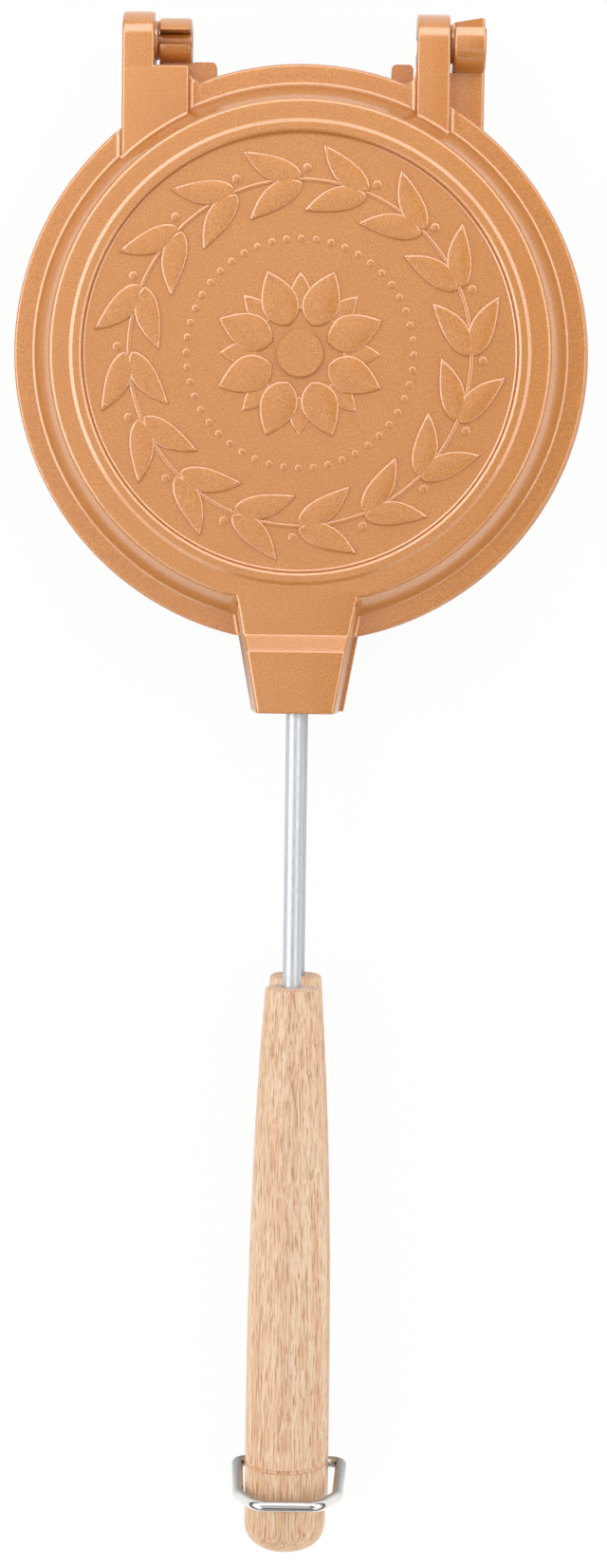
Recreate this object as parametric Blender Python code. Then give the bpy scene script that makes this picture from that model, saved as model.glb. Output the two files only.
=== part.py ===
"""Stovetop sandwich maker: two hinged round pans on rods, with turned handles and a wire bail.

Units are metres, with +Z up. The iron lies closed. +Y points from the handles to the hinge, and
the origin is the middle of the lower pan's outer face, which rests on the burner. Each half is
drawn once, in a casting's own frame: z is zero on the parting plane and grows outwards.
"""

import math

import bmesh
import bpy
from mathutils import Matrix, Vector

for leftover in list(bpy.data.objects):
    bpy.data.objects.remove(leftover, do_unlink=True)

# Pan, with radii from its axis and heights from the parting plane
flange_radius = 0.0750
flange_height = 0.0055
flange_edge_chamfer = 0.0006
flange_width = 0.0055
bevel_run = 0.0045
platform_width = 0.0061
platform_height = 0.0125
ring_width = 0.0024
ring_height = 0.0004
ring_side_run = 0.0004
field_slope_run = 0.0012
field_depth = 0.0008
foot_radius = flange_radius - flange_width
platform_radius = foot_radius - bevel_run
ring_outer_radius = platform_radius - platform_width
ring_inner_radius = ring_outer_radius - ring_width
field_radius = ring_inner_radius - field_slope_run
face_height = platform_height + ring_height
field_height = platform_height - field_depth
foot_wall = 0.0027
platform_wall = 0.0030
cavity_radius = foot_radius - foot_wall
cavity_floor_radius = platform_radius - platform_wall
cavity_floor_thickness = 0.0034
cavity_corner_run = 0.0022
parting_gap = 0.0003
half_gap = parting_gap / 2
parting_z = face_height + half_gap
overrun = 0.0010
# The two halves of a hook hinge stand a little out of line sideways
side_play = 0.0008

# Medallion relief in the field of each pan
relief_height = 0.0007
relief_root = 0.0004
button_radius = 0.0060
petal_count = 8
petal_inner_radius = 0.0078
petal_length = 0.0150
petal_width = 0.0096
garland_margin = 0.0108
garland_radius = field_radius - garland_margin
garland_pairs = 16
leaf_length = 0.0165
leaf_width = 0.0064
leaf_stem_offset = 0.0007
# Inner leaves lean further off the stem than outer ones, which follow the field's edge
leaf_tilts_deg = {-1: 36.0, 1: 22.0}
blade_shares = ((0.0, 0.0), (0.16, 0.62), (0.40, 1.0), (0.70, 0.74), (1.0, 0.0))

# Handle, turned in wood, with distances along it from its top end
handle_length = 0.1531
handle_radius = 0.0108
handle_top_radius = 0.0069
handle_edge_round = 0.0008
handle_straight_length = 0.0201
handle_swell_power = 2.7
handle_dome_length = 0.0090
handle_gap = 0.0006
handle_axis_height = handle_radius + handle_gap / 2
groove_from_end = 0.0251
groove_width = 0.0012
groove_depth = 0.0004
handle_swell_length = handle_length - handle_straight_length
groove_from_top = handle_length - groove_from_end

# Boss that takes the rod, with reaches measured along -Y from the pan's axis
boss_overhang = 0.0183
boss_end_half_width = 0.0119
neck_inset = 0.0060
neck_half_width = 0.0163
neck_overlap = 0.0050
slope_start_inset = 0.0022
slope_run = 0.0044
boss_reach = flange_radius + boss_overhang
neck_reach = flange_radius - neck_inset
neck_root_reach = platform_radius - neck_overlap
slope_start_reach = flange_radius - slope_start_inset
slope_end_reach = slope_start_reach + slope_run
boss_cover = 0.0019
boss_side_run = 0.0017

# Rod and its pin
rod_diameter = 0.0048
rod_chamfer = 0.0004
fit_clearance = 0.0003
boss_height = handle_axis_height + rod_diameter / 2 + boss_cover
rod_socket_depth = 0.0180
rod_end_clearance = 0.0005
rod_in_handle = 0.0450
rod_bare_length = 0.0725
handle_top_reach = boss_reach + rod_bare_length
rod_pin_diameter = 0.0020
rod_pin_setback = 0.0090
rod_pin_cover = 0.0017

# Hinge, with x measured from the middle of the hinge on the upper half
hinge_setback = 0.0064
hinge_reach = flange_radius + hinge_setback
lug_radius = 0.0074
lower_hook_radius = 0.0057
lug_length = 0.0414
lug_root_reach = hinge_reach - lug_length
arm_inner_x = 0.0388
arm_width = 0.0084
hook_outer_x = 0.0379
hook_width = 0.0086
base_inner_x = 0.0297
notch_clearance = 0.00065
notch_reach = hinge_reach - lug_radius - notch_clearance
arm_step_offset = 0.0031
arm_step_depth = 0.0015
hinge_pin_radius = 0.00165
hinge_pin_clearance = 0.0002
hinge_pin_end_gap = 0.0006
hook_slot_half_width = hinge_pin_radius + hinge_pin_clearance

# Two small stops on the lower pan's rim
stop_centre_x = 0.0257
stop_width = 0.0057
stop_overhang = 0.0010
stop_length = 0.0160
stop_reach = flange_radius + stop_overhang
stop_root_reach = stop_reach - stop_length
stop_corner = 0.0012
stop_height = 0.0052

# Bail, a bent wire on the lower handle, with heights from the parting plane
wire_diameter = 0.0030
bail_pivot_from_end = 0.0173
bail_half_width = 0.0144
bail_shoulder_half_width = 0.0132
bail_shoulder_height = 0.0165
bail_bar_half_width = 0.0083
bail_reach = 0.0361
bail_grip = 0.0050
bail_foot_bend = 0.0026
bail_corner_bend = 0.0030
bail_hole_radius = wire_diameter / 2 + fit_clearance

# Mesh fineness
pan_segments = 72
handle_segments = 28
rod_segments = 20
arc_step_deg = 15.0
swell_steps = 12
dome_steps = 6
wire_rings = 3
weld_distance = 1e-7

handle_end_reach = handle_top_reach + handle_length
bail_pivot_reach = handle_end_reach - bail_pivot_from_end
bail_bar_height = bail_reach - handle_axis_height


def link(obj):
    bpy.context.scene.collection.objects.link(obj)
    return obj


def material(name, colour, metallic, roughness):
    made = bpy.data.materials.new(name)
    made.use_nodes = True
    shader = made.node_tree.nodes["Principled BSDF"]
    shader.inputs["Base Color"].default_value = (*colour, 1.0)
    shader.inputs["Metallic"].default_value = metallic
    shader.inputs["Roughness"].default_value = roughness
    return made


def finished(obj, finish):
    """The object with its material, shaded smooth except at its edges."""
    obj.data.materials.append(finish)
    if obj.type == "MESH":
        obj.data.shade_smooth()
        obj.data.set_sharp_from_angle(angle=math.radians(30.0))
    return obj


def mesh_object(name, shape, matrix=Matrix.Identity(4)):
    """A closed bmesh as an object, with its faces turned outwards."""
    bmesh.ops.recalc_face_normals(shape, faces=shape.faces)
    mesh = bpy.data.meshes.new(name)
    shape.to_mesh(mesh)
    shape.free()
    obj = link(bpy.data.objects.new(name, mesh))
    obj.matrix_world = matrix
    return obj


def turned(name, profile, segments, matrix=Matrix.Identity(4)):
    """A solid of revolution about Z from (radius, height) points that start and end on the axis."""
    shape = bmesh.new()
    points = [shape.verts.new((radius, 0.0, height)) for radius, height in profile]
    edges = [shape.edges.new(pair) for pair in zip(points, points[1:])]
    bmesh.ops.spin(
        shape,
        geom=points + edges,
        cent=(0.0, 0.0, 0.0),
        axis=(0.0, 0.0, 1.0),
        angle=math.tau,
        steps=segments,
        use_merge=True,
    )
    bmesh.ops.remove_doubles(shape, verts=shape.verts, dist=weld_distance)
    return mesh_object(name, shape, matrix)


def prism(name, outline, along, low, high, matrix=Matrix.Identity(4)):
    """A straight solid. The outline is (y, z) points for a prism along x, and (x, y) along z."""
    shape = bmesh.new()
    corners = [(low, *p) if along == "x" else (*p, low) for p in outline]
    face = shape.faces.new([shape.verts.new(corner) for corner in corners])
    made = bmesh.ops.extrude_face_region(shape, geom=[face])
    moved = [item for item in made["geom"] if isinstance(item, bmesh.types.BMVert)]
    depth = high - low
    step = (depth, 0.0, 0.0) if along == "x" else (0.0, 0.0, depth)
    bmesh.ops.translate(shape, verts=moved, vec=step)
    return mesh_object(name, shape, matrix)


def rod_between(name, start, end, radius, segments, matrix=Matrix.Identity(4)):
    """A plain cylinder from one point to another."""
    axis = Vector(end) - Vector(start)
    shape = bmesh.new()
    bmesh.ops.create_cone(
        shape,
        cap_ends=True,
        segments=segments,
        radius1=radius,
        radius2=radius,
        depth=axis.length,
    )
    turn = axis.to_track_quat("Z", "Y").to_matrix().to_4x4()
    place = Matrix.Translation((Vector(start) + Vector(end)) / 2)
    bmesh.ops.transform(shape, matrix=place @ turn, verts=shape.verts)
    return mesh_object(name, shape, matrix)


def joined(name, parts, matrix):
    """Several separate closed shapes as one object, for a single Boolean."""
    shape = bmesh.new()
    for part in parts:
        shape.from_mesh(part.data)
        bpy.data.objects.remove(part, do_unlink=True)
    return mesh_object(name, shape, matrix)


def boolean(obj, tool, operation):
    """Adds or cuts with a helper, which then isn't rendered."""
    modifier = obj.modifiers.new(tool.name, "BOOLEAN")
    modifier.operation = operation
    modifier.solver = "EXACT"
    modifier.object = tool
    tool.hide_render = True
    tool.display_type = "WIRE"
    tool.parent = obj
    tool.matrix_parent_inverse = obj.matrix_world.inverted()


def arc(centre, radius, start_deg, end_deg):
    """Points on an arc, both ends among them, in steps of about arc_step_deg."""
    steps = max(1, math.ceil(abs(end_deg - start_deg) / arc_step_deg))
    angles = [start_deg + (end_deg - start_deg) * i / steps for i in range(steps + 1)]
    return [
        (
            centre[0] + radius * math.cos(math.radians(angle)),
            centre[1] + radius * math.sin(math.radians(angle)),
        )
        for angle in angles
    ]


def pan_profile():
    """Outer form of a pan: field, ring, platform, bevel and flange."""
    return [
        (0.0, field_height),
        (field_radius, field_height),
        (ring_inner_radius, face_height),
        (ring_outer_radius - ring_side_run, face_height),
        (ring_outer_radius, platform_height),
        (platform_radius, platform_height),
        (foot_radius, flange_height),
        (flange_radius - flange_edge_chamfer, flange_height),
        (flange_radius, flange_height - flange_edge_chamfer),
        (flange_radius, half_gap),
        (0.0, half_gap),
    ]


def cavity_profile():
    """Space for the bread, open at the parting plane."""
    floor_height = platform_height - cavity_floor_thickness
    return [
        (0.0, floor_height),
        (cavity_floor_radius - cavity_corner_run, floor_height),
        (cavity_floor_radius, floor_height - cavity_corner_run),
        (cavity_radius, half_gap),
        (cavity_radius, -overrun),
        (0.0, -overrun),
    ]


def neck_and_boss(name, matrix):
    """Tapered neck from the platform, rising over a short slope to the boss that holds the rod."""
    taper = (neck_half_width - boss_end_half_width) / (boss_reach - neck_reach)
    stations = (
        (neck_root_reach, platform_height),
        (slope_start_reach, platform_height),
        (slope_end_reach, boss_height),
        (boss_reach, boss_height),
    )
    shape = bmesh.new()
    rings = []
    for reach, height in stations:
        low = boss_end_half_width + taper * (boss_reach - reach)
        high = low - boss_side_run * height / boss_height
        section = ((-low, half_gap), (low, half_gap), (high, height), (-high, height))
        rings.append([shape.verts.new((x, -reach, z)) for x, z in section])
    for first, second in zip(rings, rings[1:]):
        for i in range(4):
            j = (i + 1) % 4
            shape.faces.new((first[i], first[j], second[j], second[i]))
    shape.faces.new(rings[0])
    shape.faces.new(rings[-1])
    return mesh_object(name, shape, matrix)


def arm_outline():
    """Side view of the arm that carries a hinge pin, with its end stepped on the parting side."""
    centre = (hinge_reach, 0.0)
    lip_deg = 270.0 + math.degrees(math.asin(arm_step_offset / lug_radius))
    step_deg = math.degrees(math.asin(arm_step_depth / lug_radius))
    start_deg = 180.0 - math.degrees(math.asin(half_gap / lug_radius))
    return [
        (lug_root_reach, lug_radius),
        (lug_root_reach, half_gap),
        *arc(centre, lug_radius, start_deg, lip_deg),
        (hinge_reach + arm_step_offset, arm_step_depth),
        *arc(centre, lug_radius, step_deg, 90.0),
    ]


def hook_outline(radius):
    """Side view of a hook: a round eye with a straight slot, open towards the other half."""
    centre = (hinge_reach, 0.0)
    mouth_deg = math.degrees(math.asin(hook_slot_half_width / radius))
    start_deg = 180.0 - math.degrees(math.asin(half_gap / radius))
    return [
        (lug_root_reach, radius),
        (lug_root_reach, half_gap),
        *arc(centre, radius, start_deg, 270.0 - mouth_deg),
        *arc(centre, hook_slot_half_width, 180.0, 0.0),
        *arc(centre, radius, 270.0 + mouth_deg, 450.0),
    ]


def pin_outline():
    """End view of a hinge pin."""
    return arc((hinge_reach, 0.0), hinge_pin_radius, 0.0, 360.0)[:-1]


def hinge_parts(name, shift, hook_radius, matrix):
    """One half's hinge: the arm with its pin, the base beside it, and the hook on the other side."""
    arm_outer = -arm_inner_x - arm_width + shift
    arm_inner = -arm_inner_x + shift
    base_inner = -base_inner_x + shift
    pin_tip = -hook_outer_x + hook_width - hinge_pin_end_gap + shift
    hook_inner = hook_outer_x - hook_width + shift
    hook_outer = hook_outer_x + shift
    base = (
        (lug_root_reach, half_gap),
        (notch_reach, half_gap),
        (notch_reach, lug_radius),
        (lug_root_reach, lug_radius),
    )
    root = arm_inner - overrun
    hook = hook_outline(hook_radius)
    return [
        prism(name + "_arm", arm_outline(), "x", arm_outer, arm_inner, matrix),
        prism(name + "_base", base, "x", root, base_inner, matrix),
        prism(name + "_pin", pin_outline(), "x", root, pin_tip, matrix),
        prism(name + "_hook", hook, "x", hook_inner, hook_outer, matrix),
    ]


def stops(name, shift, matrix):
    """Two small blocks with rounded corners on the rim, beside the lugs."""
    made = []
    for side in (-1, 1):
        middle = side * stop_centre_x + shift
        low, high = middle - stop_width / 2, middle + stop_width / 2
        tip = stop_reach - stop_corner
        outline = [
            (low, stop_root_reach),
            (high, stop_root_reach),
            *arc((high - stop_corner, tip), stop_corner, 0.0, 90.0),
            *arc((low + stop_corner, tip), stop_corner, 90.0, 180.0),
        ]
        made.append(prism(name, outline, "z", half_gap, stop_height))
    return joined(name + "_stops", made, matrix)


def blade(length, width, root, heading_deg):
    """Outline of a leaf or petal that starts at root and points along heading_deg."""
    left = [(length * along, width / 2 * across) for along, across in blade_shares]
    outline = left + [(x, -y) for x, y in reversed(left[1:-1])]
    turn = Matrix.Rotation(math.radians(heading_deg), 2)
    return [tuple(Vector(root) + turn @ Vector(point)) for point in outline]


def around(radius, angle_deg):
    angle = math.radians(angle_deg)
    return (radius * math.cos(angle), radius * math.sin(angle))


def medallion(name, matrix):
    """Garland of paired leaves round a rosette, in low relief on the field."""
    low, high = field_height - relief_root, field_height + relief_height
    outlines = []
    for i in range(petal_count):
        angle = 360.0 * (i + 0.5) / petal_count
        root = around(petal_inner_radius, angle)
        outlines.append(blade(petal_length, petal_width, root, angle))
    for i in range(garland_pairs):
        angle = 360.0 * i / garland_pairs
        for side in (-1, 1):
            root = around(garland_radius + side * leaf_stem_offset, angle)
            heading = angle + 90.0 - side * leaf_tilts_deg[side]
            outlines.append(blade(leaf_length, leaf_width, root, heading))
    parts = [prism(name, outline, "z", low, high) for outline in outlines]
    button = arc((0.0, 0.0), button_radius, 0.0, 360.0)[:-1]
    parts.append(prism(name, button, "z", low, face_height))
    return joined(name + "_relief", parts, matrix)


def plate(name, matrix, shift, hook_radius, has_stops, finish):
    """One casting: pan, neck, boss and hinge lugs in one piece."""
    casting = turned(name, pan_profile(), pan_segments, matrix)
    boolean(casting, neck_and_boss(name + "_boss", matrix), "UNION")
    for part in hinge_parts(name, shift, hook_radius, matrix):
        boolean(casting, part, "UNION")
    if has_stops:
        boolean(casting, stops(name, shift, matrix), "UNION")
    cavity = turned(name + "_cavity", cavity_profile(), pan_segments, matrix)
    boolean(casting, cavity, "DIFFERENCE")
    boolean(casting, medallion(name, matrix), "UNION")
    socket_end = boss_reach - rod_socket_depth
    socket = rod_between(
        name + "_socket",
        (0.0, -boss_reach - overrun, handle_axis_height),
        (0.0, -socket_end, handle_axis_height),
        rod_diameter / 2 + fit_clearance,
        rod_segments,
        matrix,
    )
    boolean(casting, socket, "DIFFERENCE")
    pin_reach = boss_reach - rod_pin_setback
    pin_hole = rod_between(
        name + "_pin_hole",
        (0.0, -pin_reach, -overrun),
        (0.0, -pin_reach, boss_height - rod_pin_cover + fit_clearance),
        rod_pin_diameter / 2 + fit_clearance,
        rod_segments,
        matrix,
    )
    boolean(casting, pin_hole, "DIFFERENCE")
    return finished(casting, finish)


def rod(name, matrix, finish):
    """Steel rod from the boss into the handle, chamfered at both ends and drilled for its pin."""
    start = boss_reach - rod_socket_depth + rod_end_clearance
    end = handle_top_reach + rod_in_handle
    radius = rod_diameter / 2
    length = end - start
    profile = [
        (0.0, length),
        (radius - rod_chamfer, length),
        (radius, length - rod_chamfer),
        (radius, rod_chamfer),
        (radius - rod_chamfer, 0.0),
        (0.0, 0.0),
    ]
    # Local +Z runs along the rod, away from the pan
    lay = Matrix.Translation((0.0, -start, handle_axis_height)) @ Matrix.Rotation(
        math.pi / 2, 4, "X"
    )
    obj = turned(name, profile, rod_segments, matrix @ lay)
    pin_reach = boss_reach - rod_pin_setback
    hole = rod_between(
        name + "_hole",
        (0.0, -pin_reach, handle_axis_height - rod_diameter),
        (0.0, -pin_reach, handle_axis_height + rod_diameter),
        rod_pin_diameter / 2 + fit_clearance,
        rod_segments,
        matrix,
    )
    boolean(obj, hole, "DIFFERENCE")
    return finished(obj, finish)


def rod_pin(name, matrix, finish):
    """Pin driven into the boss from the parting side, through the rod."""
    pin_reach = boss_reach - rod_pin_setback
    obj = rod_between(
        name,
        (0.0, -pin_reach, half_gap),
        (0.0, -pin_reach, boss_height - rod_pin_cover),
        rod_pin_diameter / 2,
        rod_segments,
        matrix,
    )
    return finished(obj, finish)


def handle_profile():
    """Turned handle: bore for the rod, rounded top edge, swell, groove and domed end."""
    bore = rod_diameter / 2 + fit_clearance
    depth = rod_in_handle + rod_end_clearance
    spread = handle_radius - handle_top_radius

    def swell(distance):
        left = max(0.0, 1.0 - distance / handle_swell_length)
        return handle_radius - spread * left**handle_swell_power

    points = [(0.0, depth), (bore, depth), (bore, 0.0)]
    points += [(swell(0.0) - handle_edge_round, 0.0)]
    body_end = groove_from_top - groove_width / 2
    for i in range(swell_steps + 1):
        share = (i / swell_steps) ** 1.4
        distance = handle_edge_round + (body_end - handle_edge_round) * share
        points.append((swell(distance), distance))
    points.append((handle_radius - groove_depth, groove_from_top))
    points.append((handle_radius, groove_from_top + groove_width / 2))
    dome_start = handle_length - handle_dome_length
    for i in range(dome_steps):
        angle = math.pi / 2 * i / dome_steps
        radius = handle_radius * math.cos(angle)
        points.append((radius, dome_start + handle_dome_length * math.sin(angle)))
    points.append((0.0, handle_length))
    return points[::-1]


def handle(name, matrix, finish):
    lay = Matrix.Translation(
        (0.0, -handle_top_reach, handle_axis_height)
    ) @ Matrix.Rotation(math.pi / 2, 4, "X")
    obj = turned(name, handle_profile(), handle_segments, matrix @ lay)
    return finished(obj, finish)


def rounded_path(corners):
    """Points along a polyline whose inner corners are (x, z, bend radius), as arcs."""
    points = [Vector(corners[0][:2])]
    for before, corner, after in zip(corners, corners[1:], corners[2:]):
        middle = Vector(corner[:2])
        back = (Vector(before[:2]) - middle).normalized()
        ahead = (Vector(after[:2]) - middle).normalized()
        half_angle = back.angle(ahead) / 2
        inset = corner[2] / math.tan(half_angle)
        centre = middle + (back + ahead).normalized() * corner[2] / math.sin(half_angle)
        start, end = middle + back * inset - centre, middle + ahead * inset - centre
        turn_deg = math.degrees(start.angle(end))
        steps = max(2, math.ceil(turn_deg / arc_step_deg))
        # A slerp gives a vector of unit length
        bend = [start.slerp(end, i / steps) * corner[2] for i in range(steps + 1)]
        points += [centre + spoke for spoke in bend]
    points.append(Vector(corners[-1][:2]))
    return points


def bail(name, finish):
    """Wire bail, drawn round its own pivot: feet in the cross hole, legs, corners and bar."""
    shoulder = bail_shoulder_height + handle_axis_height
    half = [
        (bail_grip, 0.0, 0.0),
        (bail_half_width, 0.0, bail_foot_bend),
        (bail_shoulder_half_width, shoulder, bail_corner_bend),
        (bail_bar_half_width, bail_reach, bail_corner_bend),
    ]
    corners = half + [(-x, z, bend) for x, z, bend in reversed(half)]
    points = rounded_path(corners)
    curve = bpy.data.curves.new(name, "CURVE")
    curve.dimensions = "3D"
    curve.bevel_depth = wire_diameter / 2
    curve.bevel_resolution = wire_rings
    curve.use_fill_caps = True
    spline = curve.splines.new("POLY")
    spline.points.add(len(points) - 1)
    for item, (x, z) in zip(spline.points, points):
        item.co = (x, 0.0, z, 1.0)
    obj = link(bpy.data.objects.new(name, curve))
    return finished(obj, finish)


def carried(objects, empty):
    """Hangs objects on a joint's empty, where they stand."""
    bpy.context.view_layer.update()
    for obj in objects:
        obj.parent = empty
        obj.matrix_parent_inverse = empty.matrix_world.inverted()


copper = material("copper_coated_casting", (0.68, 0.31, 0.13), 0.85, 0.38)
chrome = material("chromed_steel", (0.78, 0.78, 0.78), 1.0, 0.15)
steel = material("plain_steel", (0.55, 0.55, 0.56), 1.0, 0.35)
beech = material("beech", (0.80, 0.55, 0.35), 0.0, 0.55)

# The lower half is the same frame turned over, half a turn about Y
upper_frame = Matrix.Translation((-side_play, 0.0, parting_z))
lower_frame = Matrix.Translation((0.0, 0.0, parting_z)) @ Matrix.Rotation(
    math.pi, 4, "Y"
)

plate("lower_plate", lower_frame, side_play, lower_hook_radius, True, copper)
rod("lower_rod", lower_frame, chrome)
rod_pin("lower_rod_pin", lower_frame, steel)
lower_handle = handle("lower_handle", lower_frame, beech)
bail_hole = rod_between(
    "bail_hole",
    (-handle_radius - overrun, -bail_pivot_reach, handle_axis_height),
    (handle_radius + overrun, -bail_pivot_reach, handle_axis_height),
    bail_hole_radius,
    rod_segments,
    lower_frame,
)
boolean(lower_handle, bail_hole, "DIFFERENCE")

lid_hinge = link(bpy.data.objects.new("lid_hinge", None))
lid_hinge.location = (-side_play, hinge_reach, parting_z)
carried(
    [
        plate("upper_plate", upper_frame, 0.0, lug_radius, False, copper),
        rod("upper_rod", upper_frame, chrome),
        rod_pin("upper_rod_pin", upper_frame, steel),
        handle("upper_handle", upper_frame, beech),
    ],
    lid_hinge,
)

bail_wire = bail("bail", chrome)
bail_wire.location = (0.0, -bail_pivot_reach, parting_z - handle_axis_height)
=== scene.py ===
# %% [markdown]
# # A stovetop sandwich iron
# Two round pans hang on one hinge, each with a steel rod and a turned wooden handle, and a wire
# bail holds the handles together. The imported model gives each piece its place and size. This
# script makes the fine surfaces over it: rounded edges, soft fillets where one form runs into
# another, a medallion in low relief, and the finishes.

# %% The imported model
import math
from functools import partial

import bmesh
import bpy
import numpy as np
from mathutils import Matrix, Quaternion, Vector


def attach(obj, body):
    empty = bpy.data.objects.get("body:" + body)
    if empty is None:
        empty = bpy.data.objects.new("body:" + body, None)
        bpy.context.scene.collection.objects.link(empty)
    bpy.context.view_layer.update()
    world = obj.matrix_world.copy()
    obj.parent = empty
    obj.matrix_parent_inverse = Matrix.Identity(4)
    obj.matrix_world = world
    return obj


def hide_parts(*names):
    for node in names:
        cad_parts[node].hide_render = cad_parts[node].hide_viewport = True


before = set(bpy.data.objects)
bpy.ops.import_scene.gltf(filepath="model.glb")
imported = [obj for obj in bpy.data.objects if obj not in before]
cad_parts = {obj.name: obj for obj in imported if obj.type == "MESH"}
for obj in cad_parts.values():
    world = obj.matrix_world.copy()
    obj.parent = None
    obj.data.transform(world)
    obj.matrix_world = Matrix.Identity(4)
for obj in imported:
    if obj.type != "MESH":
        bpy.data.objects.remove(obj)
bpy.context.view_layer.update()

# %% [markdown]
# ## Sizes taken from the model
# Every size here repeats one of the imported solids, in metres, so that each surface lies where its
# solid is. Heights are counted outwards from the parting plane, which is where the two pans meet,
# and so one description serves both halves. A hair is the small step that keeps two faces from
# lying in one plane, where they would flicker.

# %% Sizes
HAIR = 0.00002
HALF_GAP = 0.00015
UNDERSIDE = HALF_GAP + HAIR
FLANGE_RADIUS, FLANGE_HEIGHT = 0.0750, 0.0055
FOOT_RADIUS, PLATFORM_RADIUS, PLATFORM_HEIGHT = 0.0695, 0.0650, 0.0125
RING_OUTER, RING_INNER, RING_HEIGHT = 0.0599, 0.05735, 0.0004
FIELD_RADIUS, FIELD_HEIGHT = 0.05585, 0.0117
HOLLOW_MOUTH, HOLLOW_FLOOR, HOLLOW_DEPTH = 0.0668, 0.0620, 0.0091
FACE_HEIGHT = PLATFORM_HEIGHT + RING_HEIGHT
PARTING_Z = FACE_HEIGHT + HALF_GAP
SIDE_PLAY = 0.0008
HANDLE_AXIS = 0.0111
HINGE_REACH = 0.0814
ROD_RADIUS = 0.0024
print("parting plane at", round(1000 * PARTING_Z, 2), "mm")

# %% [markdown]
# ## The two halves
# The lower casting is the upper one turned over, half a turn about the long axis. So each surface
# is worked out once, as points in the casting's own frame, and a frame moves the points to their
# place. Turning keeps a surface the right way out, where mirroring would turn it inside out.

# %% Frames of the halves
def half_frame(turned_over, shift):
    """Takes points of a casting's frame to the model's: (x, y, z) or (-x, y, -z), then moved."""
    sign = -1.0 if turned_over else 1.0
    return np.array([sign, 1.0, sign]), np.array([shift, 0.0, PARTING_Z])


def placed(rings, where):
    """Points of a casting's frame, moved to a half's place."""
    signs, shift = where
    return rings * signs + shift


UPPER = half_frame(False, -SIDE_PLAY)
LOWER = half_frame(True, 0.0)
HALVES = (("upper", "lid", UPPER, 0.0), ("lower", "lower_half", LOWER, SIDE_PLAY))
print("halves:", ", ".join(half for half, *_ in HALVES))

# %% [markdown]
# ## From rings of points to a closed surface
# Turned, lofted and swept forms are all stacks of rings. A stack becomes a mesh with one face
# between each two neighbours, and a cap at each end. Rings that shrink to a point make a pole,
# whose points are merged. The signed volume says whether the faces point out.

# %% Stack of rings
def quads_of(rows, columns):
    """Corner numbers of the faces between neighbouring rings, each ring closed on itself."""
    start = np.arange(rows - 1)[:, None] * columns
    here = np.arange(columns)[None, :]
    after = np.roll(here, -1, axis=1)
    corners = [start + here, start + after, start + columns + after, start + columns + here]
    return np.stack(np.broadcast_arrays(*corners), axis=-1).reshape(-1, 4)


def signed_volume(points, quads):
    """Sum over faces of corner . (corner x corner) / 6: positive where they point outwards."""
    a, b, c, d = (points[quads[:, i]] for i in range(4))
    halves = np.einsum("ij,ij->i", a, np.cross(b, c)) + np.einsum("ij,ij->i", a, np.cross(c, d))
    return halves.sum() / 6.0


def shell(rings, caps=(True, True)):
    """Points and faces of one closed shell from rings, turned to face outwards."""
    rows, columns, _ = rings.shape
    points = rings.reshape(-1, 3)
    quads = quads_of(rows, columns)
    inward = signed_volume(points - points.mean(axis=0), quads) < 0
    step = -1 if inward else 1
    ends = [np.arange(columns)[::-step], np.arange(columns)[::step] + (rows - 1) * columns]
    faces = [quads[:, ::-1] if inward else quads]
    faces += [end[None, :] for end, wanted in zip(ends, caps) if wanted]
    return points, faces


print("a stack of two hexagons has", len(quads_of(2, 6)), "sides")

# %% [markdown]
# ## Mesh, material and body
# Blender's own operators could add each shape, but then every point would be moved by hand. The
# arrays go into a mesh whole instead. Equal points are merged, faces without area go, and every
# edge sharper than a limit is shaded as an edge. Each piece then gets its material and the body
# that it moves with, and the solid that it stands for is hidden.

# %% Mesh and hand-over of a piece
SHARP, MEDALLION_SHARP = math.radians(34.0), math.radians(28.0)


def built(name, shells, sharp=SHARP):
    """One object from closed shells, shaded smooth but for its sharp edges."""
    offsets = np.cumsum([0] + [len(points) for points, _ in shells[:-1]])
    points = np.concatenate([points for points, _ in shells])
    groups = [group + start for (_, faces), start in zip(shells, offsets) for group in faces]
    corners = np.concatenate([group.ravel() for group in groups])
    totals = np.concatenate([np.full(len(group), group.shape[1]) for group in groups])
    starts = np.concatenate([[0], np.cumsum(totals)[:-1]])
    mesh = bpy.data.meshes.new(name)
    mesh.vertices.add(len(points))
    mesh.vertices.foreach_set("co", points.astype(np.float32).ravel())
    mesh.loops.add(len(corners))
    mesh.loops.foreach_set("vertex_index", corners.astype(np.int32))
    mesh.polygons.add(len(totals))
    mesh.polygons.foreach_set("loop_start", starts.astype(np.int32))
    mesh.update(calc_edges=True)
    shape = bmesh.new()
    shape.from_mesh(mesh)
    bmesh.ops.remove_doubles(shape, verts=shape.verts, dist=1e-7)
    bmesh.ops.dissolve_degenerate(shape, edges=shape.edges, dist=1e-8)
    shape.to_mesh(mesh)
    shape.free()
    mesh.validate()
    mesh.shade_smooth()
    mesh.set_sharp_from_angle(angle=sharp)
    made = bpy.data.objects.new(name, mesh)
    bpy.context.scene.collection.objects.link(made)
    return made


def stacked(name, rings):
    """A closed object from an array of rings, (rings, points round, 3), capped at both ends."""
    return built(name, [shell(rings)])


def dressed(piece, material, body, *nodes):
    """Gives a piece its material and its body, and hides the CAD nodes that it stands for."""
    piece.data.materials.append(material)
    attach(piece, body)
    if nodes:
        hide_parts(*nodes)


print("edges over", round(math.degrees(SHARP)), "degrees stay sharp")

# %% [markdown]
# ## Rounding a drawn outline
# A casting has no sharp corner. A Bevel modifier would round every edge alike, but here each
# corner has a radius of its own. So an outline is drawn by its corners, each with its radius, and
# every corner becomes an arc that meets both its sides without a kink.

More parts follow.
